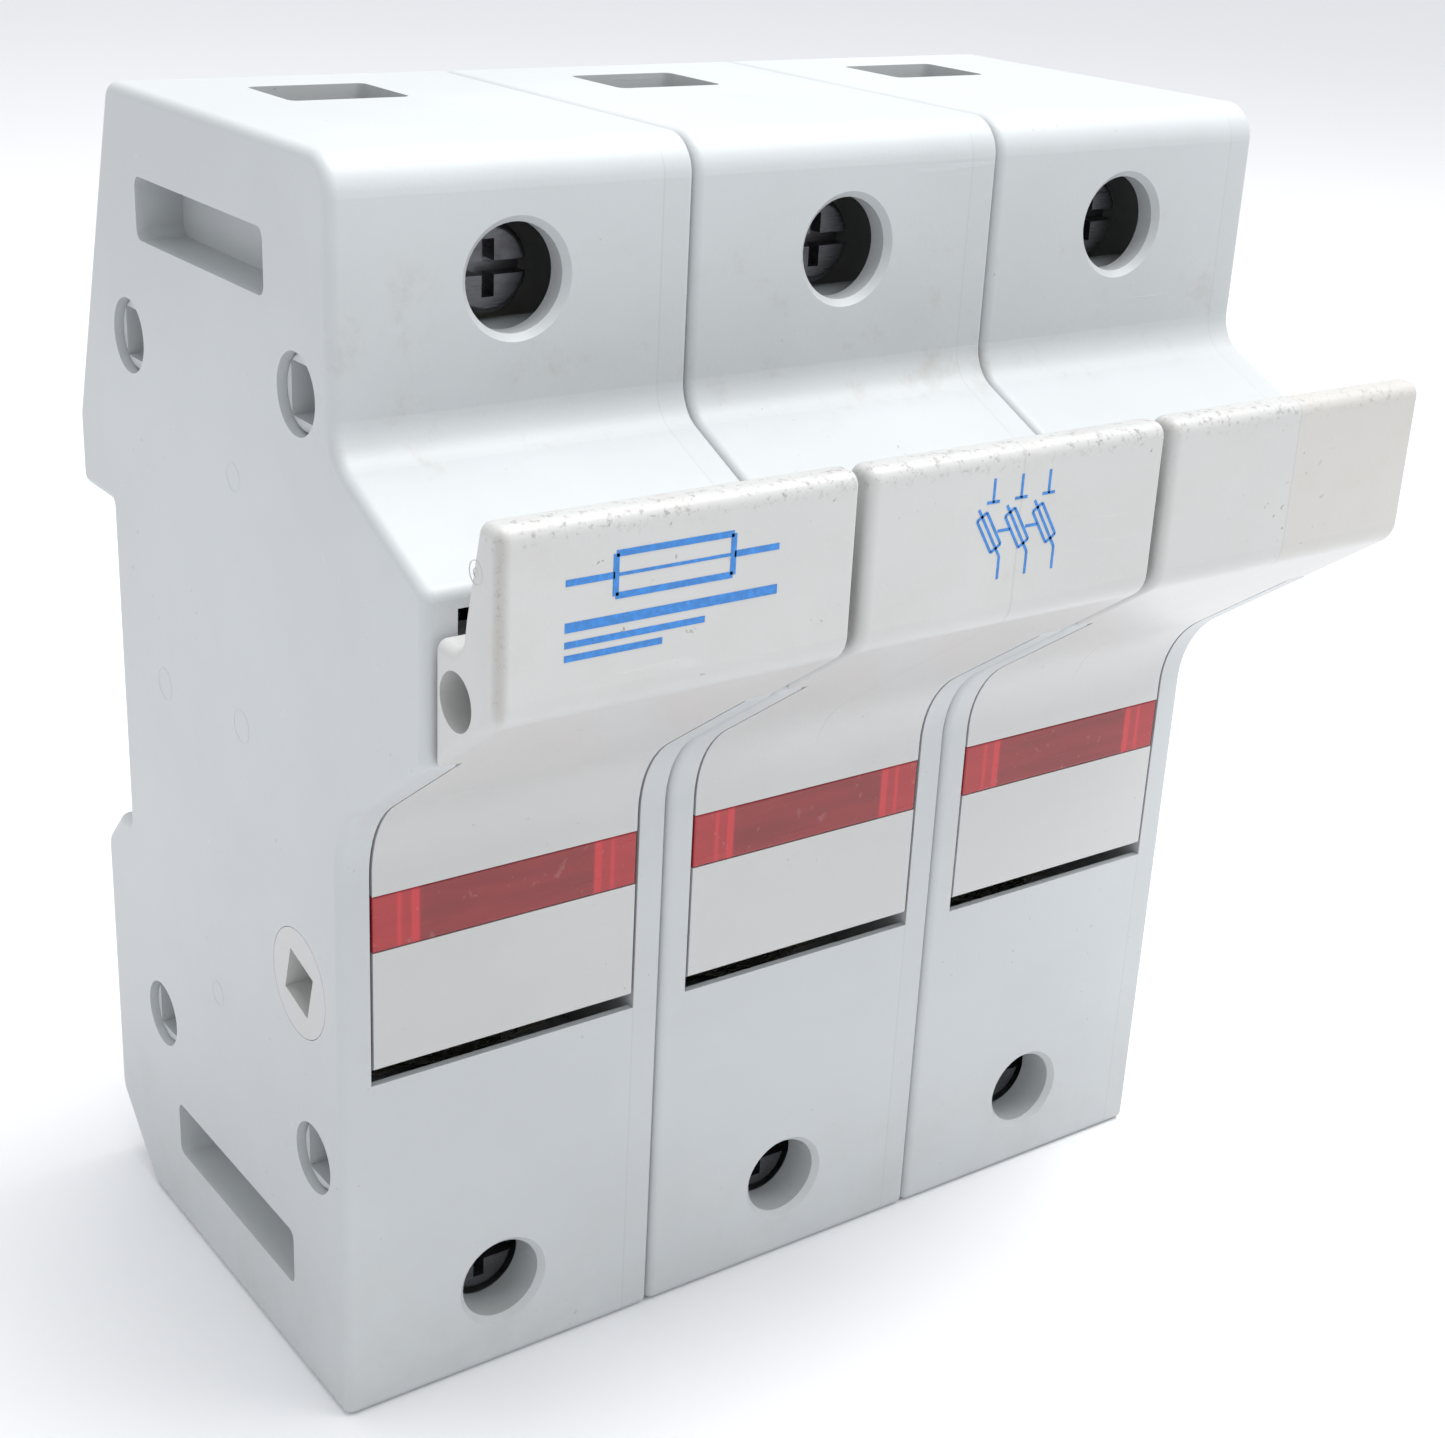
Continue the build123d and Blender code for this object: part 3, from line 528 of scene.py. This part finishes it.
# ------------------------------------------------------------------ geometry node trees
class Tree:
    """A geometry node tree with named inputs, ending in Realize Instances and Set Material."""

    def __init__(self, name, inputs):
        self.group = bpy.data.node_groups.new(name, "GeometryNodeTree")
        self.group.interface.new_socket("Geometry", in_out="INPUT", socket_type="NodeSocketGeometry")
        self.ids = {}
        for label, kind, default in inputs:
            made = self.group.interface.new_socket(label, in_out="INPUT", socket_type=kind)
            if default is not None:
                made.default_value = default
            self.ids[label] = made.identifier
        self.group.interface.new_socket("Geometry", in_out="OUTPUT", socket_type="NodeSocketGeometry")
        self.start = self.group.nodes.new("NodeGroupInput")

    def add(self, kind, settings=None, **sockets):
        item = self.group.nodes.new(kind)
        for key, value in (settings or {}).items():
            setattr(item, key, value)
        for key, value in sockets.items():
            self.feed(item, key.replace("_", " "), value)
        return item

    def feed(self, item, key, value):
        socket = item.inputs[key]
        if isinstance(value, bpy.types.NodeSocket):
            self.group.links.new(value, socket)
        elif isinstance(value, str) and value in self.start.outputs:
            self.group.links.new(self.start.outputs[value], socket)
        else:
            socket.default_value = value

    def close(self, geometry):
        real = self.add("GeometryNodeRealizeInstances", None, Geometry=geometry)
        smooth = self.add("GeometryNodeSetShadeSmooth", None, Geometry=real.outputs[0])
        smooth.inputs["Shade Smooth"].default_value = False
        painted = self.add("GeometryNodeSetMaterial", None, Geometry=smooth.outputs[0], Material="Material")
        end = self.group.nodes.new("NodeGroupOutput")
        self.group.links.new(painted.outputs[0], end.inputs[0])
        return self

    def build(self, name, places, **values):
        """Run the tree at each place and return one plain mesh of all of them."""
        bm = bmesh.new()
        for place in places:
            carrier = bpy.data.objects.new(name + "_source", bpy.data.meshes.new(name + "_source"))
            bpy.context.collection.objects.link(carrier)
            modifier = carrier.modifiers.new("detail", "NODES")
            modifier.node_group = self.group
            for label, value in {**values, "Place": place}.items():
                modifier[self.ids[label.replace("_", " ")]] = value
            bpy.context.view_layer.update()
            evaluated = carrier.evaluated_get(bpy.context.evaluated_depsgraph_get())
            plain = bpy.data.meshes.new_from_object(evaluated)
            bm.from_mesh(plain)
            carrier.modifiers.clear()
            bpy.data.objects.remove(carrier)
            bpy.data.meshes.remove(plain)
        if not bm.verts:
            raise RuntimeError(name + " came out empty")
        return link_mesh(name, bm, values["Material"])


def thread_tree():
    """A helical thread ridge that runs back from a place along +Y."""
    t = Tree("screw_thread", [
        ("Place", "NodeSocketVector", (0, 0, 0)), ("Turns", "NodeSocketFloat", 10.0),
        ("Radius", "NodeSocketFloat", 0.0024), ("Length", "NodeSocketFloat", 0.010),
        ("Ridge", "NodeSocketFloat", 0.0003), ("Material", "NodeSocketMaterial", None)])
    spiral = t.add("GeometryNodeCurveSpiral", None, Resolution=22, Rotations="Turns", Height="Length")
    t.feed(spiral, "Start Radius", "Radius")
    t.feed(spiral, "End Radius", "Radius")
    ridge = t.add("GeometryNodeCurvePrimitiveCircle", {"mode": "RADIUS"}, Resolution=6, Radius="Ridge")
    tube = t.add("GeometryNodeCurveToMesh", None, Curve=spiral.outputs[0])
    t.feed(tube, "Profile Curve", ridge.outputs[0])
    t.feed(tube, "Fill Caps", True)
    turned = t.add("GeometryNodeTransform", None, Geometry=tube.outputs[0], Translation="Place")
    turned.inputs["Rotation"].default_value = (-math.pi / 2, 0.0, 0.0)
    return t.close(turned.outputs[0])


def ridge_tree():
    """A row of equal rounded ridges along a step."""
    t = Tree("ridge_row", [
        ("Place", "NodeSocketVector", (0, 0, 0)), ("Count", "NodeSocketInt", 5),
        ("Step", "NodeSocketVector", (0, 0, 0.001)), ("Length", "NodeSocketFloat", 0.006),
        ("Ridge", "NodeSocketFloat", 0.0003), ("Material", "NodeSocketMaterial", None)])
    line = t.add("GeometryNodeMeshLine", {"mode": "OFFSET"}, Count="Count", Offset="Step")
    t.feed(line, "Start Location", "Place")
    bar = t.add("GeometryNodeMeshCylinder", {"fill_type": "NGON"}, Vertices=10, Radius="Ridge", Depth="Length")
    lying = t.add("GeometryNodeTransform", None, Geometry=bar.outputs[0])
    lying.inputs["Rotation"].default_value = (0.0, math.pi / 2, 0.0)
    row = t.add("GeometryNodeInstanceOnPoints", None, Points=line.outputs[0], Instance=lying.outputs[0])
    return t.close(row.outputs[0])


def ring_tree():
    """A row of thin rings about X, one for each step."""
    t = Tree("ring_row", [
        ("Place", "NodeSocketVector", (0, 0, 0)), ("Count", "NodeSocketInt", 4),
        ("Step", "NodeSocketVector", (0.001, 0, 0)), ("Radius", "NodeSocketFloat", 0.0011),
        ("Ridge", "NodeSocketFloat", 0.0002), ("Material", "NodeSocketMaterial", None)])
    line = t.add("GeometryNodeMeshLine", {"mode": "OFFSET"}, Count="Count", Offset="Step")
    t.feed(line, "Start Location", "Place")
    path = t.add("GeometryNodeCurvePrimitiveCircle", {"mode": "RADIUS"}, Resolution=24, Radius="Radius")
    section = t.add("GeometryNodeCurvePrimitiveCircle", {"mode": "RADIUS"}, Resolution=6, Radius="Ridge")
    hoop = t.add("GeometryNodeCurveToMesh", None, Curve=path.outputs[0])
    t.feed(hoop, "Profile Curve", section.outputs[0])
    standing = t.add("GeometryNodeTransform", None, Geometry=hoop.outputs[0])
    standing.inputs["Rotation"].default_value = (0.0, math.pi / 2, 0.0)
    row = t.add("GeometryNodeInstanceOnPoints", None, Points=line.outputs[0], Instance=standing.outputs[0])
    return t.close(row.outputs[0])


# ------------------------------------------------------------------ settings
class FuseHolderFinishes(bpy.types.PropertyGroup):
    """Colours of the plastics, the ink and the lens."""

    housing: bpy.props.FloatVectorProperty(
        name="Housing", description="Colour of the shells", subtype="COLOR", size=3,
        default=(0.505, 0.527, 0.536), min=0.0, max=1.0)
    carrier: bpy.props.FloatVectorProperty(
        name="Carrier", description="Colour of the handles and tongues", subtype="COLOR", size=3,
        default=(0.520, 0.520, 0.511), min=0.0, max=1.0)
    lens: bpy.props.FloatVectorProperty(
        name="Lens", description="Colour of the indicator lens", subtype="COLOR", size=3,
        default=(0.225, 0.014, 0.016), min=0.0, max=1.0)
    ink: bpy.props.FloatVectorProperty(
        name="Ink", description="Colour of the print on the handles", subtype="COLOR", size=3,
        default=(0.020, 0.165, 0.470), min=0.0, max=1.0)


class FuseHolderDetails(bpy.types.PropertyGroup):
    """Sizes of the small detail."""

    ink_thickness: bpy.props.FloatProperty(
        name="Ink Thickness", description="How far the print stands proud", unit="LENGTH",
        default=0.03 * MM, min=0.01 * MM, max=0.1 * MM, precision=6)
    ink_width: bpy.props.FloatProperty(
        name="Ink Line", description="Width of the printed lines", unit="LENGTH",
        default=0.27 * MM, min=0.1 * MM, max=1.0 * MM, precision=6)
    thread_pitch: bpy.props.FloatProperty(
        name="Thread Pitch", description="Lead of the terminal screws", unit="LENGTH",
        default=0.8 * MM, min=0.3 * MM, max=2.0 * MM, precision=6)
    ridge: bpy.props.FloatProperty(
        name="Ridge", description="Radius of the grip and clamp ridges", unit="LENGTH",
        default=0.25 * MM, min=0.1 * MM, max=0.6 * MM, precision=6)


class FuseHolderStage(bpy.types.PropertyGroup):
    """Camera and light."""

    lens: bpy.props.FloatProperty(
        name="Lens", description="Focal length of the camera in millimetres",
        default=56.9, min=10.0, max=200.0)
    world: bpy.props.FloatProperty(
        name="Surround", description="Strength of the white surround", default=0.9, min=0.0, max=5.0)
    key: bpy.props.FloatProperty(
        name="Top Light", description="Power of the large light above", subtype="POWER", default=2.5, min=0.0)
    fill: bpy.props.FloatProperty(
        name="Fill Light", description="Power of the light above the right side",
        subtype="POWER", default=4.0, min=0.0)


# ------------------------------------------------------------------ operators
class FUSEHOLDER_OT_housing(bpy.types.Operator):
    """Finish the shells, covers and pins, and add the mould marks on the sides"""

    bl_idname = "fuseholder.housing"
    bl_label = "Housing"

    def execute(self, context):
        colours = context.scene.fuse_finishes
        shell = fine_plastic("housing_plastic", tuple(colours.housing), dirt_and_shade=housing_grime)
        cover = fine_plastic("cover_plastic", scaled(tuple(colours.housing), 0.99), dirt_and_shade=housing_grime)
        pin = fine_plastic("pin_plastic", scaled(tuple(colours.housing), 0.97), rough=0.36)
        dress(["housing_base_" + p for p in POLES], shell)
        dress(["housing_cover_" + p for p in POLES], cover)
        dress(["housing_pins_" + p for p in POLES], pin)
        for side, pole, node in ((-1, "left", "housing_base_left"), (1, "right", "housing_cover_right")):
            low, high = node_box(node)
            x = low.x if side < 0 else high.x
            bm = bmesh.new()
            for y, z, r in ((0.004, 0.066, 1.6), (0.022, 0.064, 1.6), (0.012, 0.034, 1.3), (0.004, 0.090, 1.3)):
                ring(bm, (x, y, z), (1, 0, 0), r * MM, 0.035 * MM, 36, 6)
            marks = link_mesh("ejector_marks_" + pole, bm, shell if side < 0 else cover)
            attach(marks, "housing")
        return {"FINISHED"}


class FUSEHOLDER_OT_carriers(bpy.types.Operator):
    """Finish the carriers and their links, and add the print and the moulded rings on the handles"""

    bl_idname = "fuseholder.carriers"
    bl_label = "Carriers"

    def symbol(self, bm, middle, front, line, thick):
        """Three linked switch fuses: a fixed contact, a tilted fuse and a lead for each pole."""
        for k in (-SYMBOL_STEP, 0.0, SYMBOL_STEP):
            x = middle + (k - 0.05) * MM
            ink_line(bm, (x, 93.45 * MM), (x, 95.6 * MM), line, front, thick)
            ink_line(bm, (x - 0.72 * MM, 93.5 * MM), (x + 0.72 * MM, 93.5 * MM), line, front, thick)
            top, foot = (x - 1.55 * MM, 93.0 * MM), (x + 1.25 * MM, 88.45 * MM)
            ink_line(bm, top, foot, line, front, thick)
            centre = (x - 0.2 * MM, FUSE_HEIGHT)
            run = (foot[0] - top[0], foot[1] - top[1])
            ink_frame(bm, centre, run, 3.6 * MM, 1.25 * MM, line, front, thick)
            ink_line(bm, foot, (x + 1.25 * MM, 86.4 * MM), line, front, thick)
        for k in (-SYMBOL_STEP, 0.0):
            x = middle + k * MM
            ink_line(bm, (x + 0.75 * MM, FUSE_HEIGHT), (x + 2.15 * MM, FUSE_HEIGHT), line, front, thick)

    def mark(self, bm, middle, front, line, thick):
        """A plain fuse sign with three rules under it."""
        sign = (middle - 1.0 * MM, SIGN_HEIGHT)
        ink_frame(bm, sign, (1, 0), 11.0 * MM, 3.4 * MM, 2 * line, front, thick)
        for a, b, w in ((-11.0, -6.6, 2), (4.6, 9.0, 2), (-6.2, 4.2, 1)):
            ink_line(bm, (middle + a * MM, SIGN_HEIGHT), (middle + b * MM, SIGN_HEIGHT), w * line, front, thick)
        for a, b, z, w in ((-11.0, 9.0, 89.4, 3.0), (-11.0, 2.0, 88.0, 2.0), (-11.0, -2.0, 86.9, 2.0)):
            ink_line(bm, (middle + a * MM, z * MM), (middle + b * MM, z * MM), w * line, front, thick)

    def execute(self, context):
        colours, sizes = context.scene.fuse_finishes, context.scene.fuse_details
        plastic = fine_plastic("carrier_plastic", tuple(colours.carrier), rough=0.38, dirt_and_shade=carrier_dirt_and_shade,
                               polish=0.08)
        ink = printed_ink(tuple(colours.ink))
        steel = brushed("link_steel", (0.45, 0.44, 0.42), 0.34, (0, 0, 0), (0.30, 0.26, 0.22))
        dress(["fuse_carrier_" + p for p in POLES], plastic)
        dress(["handle_tie_pins", "pivot_links"], steel)
        front = node_box("fuse_carrier_left")[0].y
        for pole, draw in (("left", self.mark), ("centre", self.symbol)):
            bm = bmesh.new()
            draw(bm, pole_middle(pole), front, sizes.ink_width, sizes.ink_thickness)
            print_piece = link_mesh("handle_print_" + pole, bm, ink)
            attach(print_piece, "carriers")
        for pole in POLES:
            bm = bmesh.new()
            place = (pole_middle(pole) - RING_SIDE, front + 3.3 * MM, RING_HEIGHT)
            for radius, thick, steps in ((0.95, 0.05, 32), (0.35, 0.04, 20)):
                ring(bm, place, (1, 0, 0), radius * MM, thick * MM, steps, 6)
            marks = link_mesh("handle_ring_" + pole, bm, plastic)
            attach(marks, "carriers")
        return {"FINISHED"}


class FUSEHOLDER_OT_indicators(bpy.types.Operator):
    """Finish the lens, lamp, board and springs, and add solder and resistor bands"""

    bl_idname = "fuseholder.indicators"
    bl_label = "Indicators"

    def execute(self, context):
        red = lens_red(tuple(context.scene.fuse_finishes.lens))
        solder = brushed("solder", (0.62, 0.61, 0.58), 0.3, (0, 0, 0), (0.38, 0.36, 0.33))
        bands = fine_plastic("band_paint", (0.16, 0.05, 0.02), rough=0.3)
        strip = brushed("strip_bronze", (0.62, 0.50, 0.34), 0.3, (0, math.pi / 2, 0), (0.32, 0.22, 0.14))
        dress(["indicator_lens_" + p for p in POLES], red)
        dress(["neon_lamp_" + p for p in POLES], lamp_glass())
        dress(["indicator_board_" + p for p in POLES], laminate())
        dress(["indicator_springs_" + p for p in POLES], strip)
        rings = ring_tree()
        for pole in POLES:
            low, high = node_box("indicator_board_" + pole)
            middle = (low.x + high.x) / 2
            bm = bmesh.new()
            for dx in (-6.0, 6.0):
                profile = [(0.0009, 0.0), (0.0008, 0.00012), (0.0005, 0.0003), (0.0003, 0.0006), (0, 0.00065)]
                lathe(bm, (middle + dx * MM, low.y + 0.02 * MM, LEAD_HEIGHT), (0, -1, 0), profile, 16)
            drops = link_mesh("solder_" + pole, bm, solder)
            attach(drops, "carriers")
            centre = Vector((middle - 1.6 * MM, high.y - 1.1 * MM, low.z + 6.2 * MM))
            painted = rings.build("resistor_bands_" + pole, [centre], Count=4, Step=(0.95 * MM, 0, 0),
                                  Radius=0.98 * MM, Ridge=0.17 * MM, Material=bands)
            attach(painted, "carriers")
        return {"FINISHED"}


class FUSEHOLDER_OT_fuses(bpy.types.Operator):
    """Finish the three fuses, and add a plain label and crimp rings"""

    bl_idname = "fuseholder.fuses"
    bl_label = "Fuses"

    def execute(self, context):
        body = glazed("fuse_ceramic", (0.74, 0.71, 0.63), (0.25, 0.20, 0.14), (0.66, 0.62, 0.53))
        nickel = brushed("cap_nickel", (0.60, 0.57, 0.52), 0.26, (0, 0, 0), (0.36, 0.31, 0.25))
        paper = label_paper()
        dress(["fuse_tube_" + p for p in POLES], body)
        dress(["fuse_caps_" + p for p in POLES], nickel)
        for pole in POLES:
            low, high = node_box("fuse_tube_" + pole)
            centre = ((low.x + high.x) / 2, (low.y + high.y) / 2, 0)
            radius = (high.x - low.x) / 2
            bm = bmesh.new()
            profile = [(radius, 0.0472), (radius + 0.09 * MM, 0.0473), (radius + 0.1 * MM, 0.0480),
                       (radius + 0.1 * MM, 0.0730), (radius + 0.09 * MM, 0.0739), (radius, 0.0740)]
            lathe(bm, centre, (0, 0, 1), profile, 72)
            label = link_mesh("fuse_label_" + pole, bm, paper)
            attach(label, "carriers")
            bm = bmesh.new()
            cap_low, cap_high = node_box("fuse_caps_" + pole)
            for z in (cap_low.z + 10.6 * MM, cap_high.z - 10.6 * MM):
                ring(bm, (centre[0], centre[1], z), (0, 0, 1), (cap_high.x - cap_low.x) / 2 - 0.06 * MM,
                     0.14 * MM, 72, 6)
            crimp = link_mesh("cap_crimps_" + pole, bm, nickel)
            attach(crimp, "carriers")
        return {"FINISHED"}


class FUSEHOLDER_OT_terminals(bpy.types.Operator):
    """Finish the contacts, screws and clamp cages, and add threads and clamp ridges"""

    bl_idname = "fuseholder.terminals"
    bl_label = "Terminals"

    def execute(self, context):
        sizes = context.scene.fuse_details
        silver = brushed("contact_silver", (0.66, 0.61, 0.53), 0.3, (0, math.pi / 2, 0), (0.42, 0.30, 0.20))
        dark = brushed("screw_black", (0.13, 0.13, 0.14), 0.3, (0, 0, 0), (0.07, 0.06, 0.06), 0.85)
        yellow = brushed("cage_zinc", (0.48, 0.40, 0.22), 0.32, (0, 0, 0), (0.30, 0.20, 0.10))
        dress([e + "_contact_" + p for p in POLES for e in ("upper", "lower")], silver)
        dress([e + "_screw_" + p for p in POLES for e in ("upper", "lower")], dark)
        dress([e + "_cage_" + p for p in POLES for e in ("upper", "lower")], yellow)
        threads, ridges = thread_tree(), ridge_tree()
        for pole in POLES:
            for end in ("upper", "lower"):
                body = f"{end}_screw_{pole}"
                low, high = node_box(body)
                centre = Vector(((low.x + high.x) / 2, low.y + 5.0 * MM, (low.z + high.z) / 2))
                length = high.y - 1.2 * MM - centre.y
                ridge = threads.build("thread_" + body, [centre], Turns=length / sizes.thread_pitch,
                                      Length=length, Radius=2.42 * MM, Ridge=0.13 * MM, Material=dark)
                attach(ridge, body)
                body = f"{end}_cage_{pole}"
                low, high = node_box(body)
                start = Vector(((low.x + high.x) / 2, high.y - 2.3 * MM, low.z + 1.5 * MM))
                teeth = ridges.build("teeth_" + body, [start], Count=7, Step=(0, 0, 1.0 * MM),
                                     Length=10.0 * MM, Ridge=sizes.ridge, Material=yellow)
                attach(teeth, body)
        return {"FINISHED"}


class FUSEHOLDER_OT_feet(bpy.types.Operator):
    """Finish the rail feet and springs, and add the grip ridges on the tails"""

    bl_idname = "fuseholder.feet"
    bl_label = "Rail Feet"

    def execute(self, context):
        sizes = context.scene.fuse_details
        black = fine_plastic("foot_plastic", (0.055, 0.058, 0.062), rough=0.44, tone=0.1)
        wire = brushed("spring_wire", (0.55, 0.54, 0.52), 0.28, (0, 0, 0), (0.30, 0.27, 0.24))
        dress(["din_foot_" + p for p in POLES], black)
        dress(["foot_spring_" + p for p in POLES], wire)
        ridges = ridge_tree()
        for pole in POLES:
            body = "din_foot_" + pole
            low, high = node_box(body)
            start = Vector(((low.x + high.x) / 2, high.y - 0.08 * MM, low.z + 8.0 * MM))
            grip = ridges.build("grip_" + body, [start], Count=6, Step=(0, 0, 1.3 * MM),
                                Length=6.4 * MM, Ridge=sizes.ridge, Material=black)
            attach(grip, body)
        return {"FINISHED"}


class FUSEHOLDER_OT_stage(bpy.types.Operator):
    """Set up the floor, the surround, the lights and the camera"""

    bl_idname = "fuseholder.stage"
    bl_label = "Stage"

    def softbox(self, name, place, power):
        """A large round white light that faces the object."""
        data = bpy.data.lights.new(name, "AREA")
        data.shape, data.size, data.energy = "DISK", LIGHT_SIZE, power
        lamp = bpy.data.objects.new(name, data)
        lamp.location = place
        lamp.rotation_euler = (Vector(LIGHT_TARGET) - Vector(place)).to_track_quat("-Z", "Y").to_euler()
        bpy.context.collection.objects.link(lamp)

    def execute(self, context):
        settings = context.scene.fuse_stage
        bm = bmesh.new()
        quarters = ((-1, -1), (1, -1), (1, 1), (-1, 1))
        bm.faces.new([bm.verts.new((x * FLOOR_REACH, y * FLOOR_REACH, 0.0)) for x, y in quarters])
        floor = link_mesh("floor", bm, floor_finish((0.86, 0.86, 0.875)))
        world = bpy.data.worlds.new("surround")
        world.use_nodes = True
        background = world.node_tree.nodes["Background"].inputs
        background["Color"].default_value = (0.96, 0.98, 1.0, 1.0)
        background["Strength"].default_value = settings.world
        context.scene.world = world
        self.softbox("top_light", (0.06, -0.02, 0.80), settings.key)
        self.softbox("fill_light", (0.30, -0.15, 0.75), settings.fill)
        data = bpy.data.cameras.new("camera")
        data.sensor_width, data.lens, data.clip_start = 36.0, settings.lens, 0.01
        camera = bpy.data.objects.new("camera", data)
        turn = Matrix((CAMERA_RIGHT, -CAMERA_DOWN, -CAMERA_AHEAD)).transposed().to_4x4()
        camera.matrix_world = Matrix.Translation(CAMERA_PLACE) @ turn
        bpy.context.collection.objects.link(camera)
        context.scene.camera = camera
        context.scene.view_settings.view_transform = "Standard"
        return {"FINISHED"}


OPERATORS = (
    FUSEHOLDER_OT_housing,
    FUSEHOLDER_OT_carriers,
    FUSEHOLDER_OT_indicators,
    FUSEHOLDER_OT_fuses,
    FUSEHOLDER_OT_terminals,
    FUSEHOLDER_OT_feet,
    FUSEHOLDER_OT_stage,
)


class FUSEHOLDER_PT_panel(bpy.types.Panel):
    """Lists the settings and the steps that build the fuse holder"""

    bl_idname = "FUSEHOLDER_PT_panel"
    bl_label = "Fuse Holder"
    bl_space_type = "VIEW_3D"
    bl_region_type = "UI"
    bl_category = "Fuse Holder"

    def draw(self, context):
        for group in (context.scene.fuse_finishes, context.scene.fuse_details, context.scene.fuse_stage):
            box = self.layout.box()
            for name in group.__annotations__:
                box.prop(group, name)
        for operator in OPERATORS:
            self.layout.operator(operator.bl_idname)


CLASSES = (FuseHolderFinishes, FuseHolderDetails, FuseHolderStage, *OPERATORS, FUSEHOLDER_PT_panel)


def register():
    for item in CLASSES:
        bpy.utils.register_class(item)
    bpy.types.Scene.fuse_finishes = bpy.props.PointerProperty(type=FuseHolderFinishes)
    bpy.types.Scene.fuse_details = bpy.props.PointerProperty(type=FuseHolderDetails)
    bpy.types.Scene.fuse_stage = bpy.props.PointerProperty(type=FuseHolderStage)


def unregister():
    del bpy.types.Scene.fuse_finishes
    del bpy.types.Scene.fuse_details
    del bpy.types.Scene.fuse_stage
    for item in reversed(CLASSES):
        bpy.utils.unregister_class(item)


def plain(box):
    """A box as plain lists of numbers."""
    return [[float(c) for c in corner] for corner in box]


def main():
    register()
    for operator in OPERATORS:
        group, name = operator.bl_idname.split(".")
        getattr(getattr(bpy.ops, group), name)()
    bpy.context.view_layer.update()


if __name__ == "__main__":
    main()
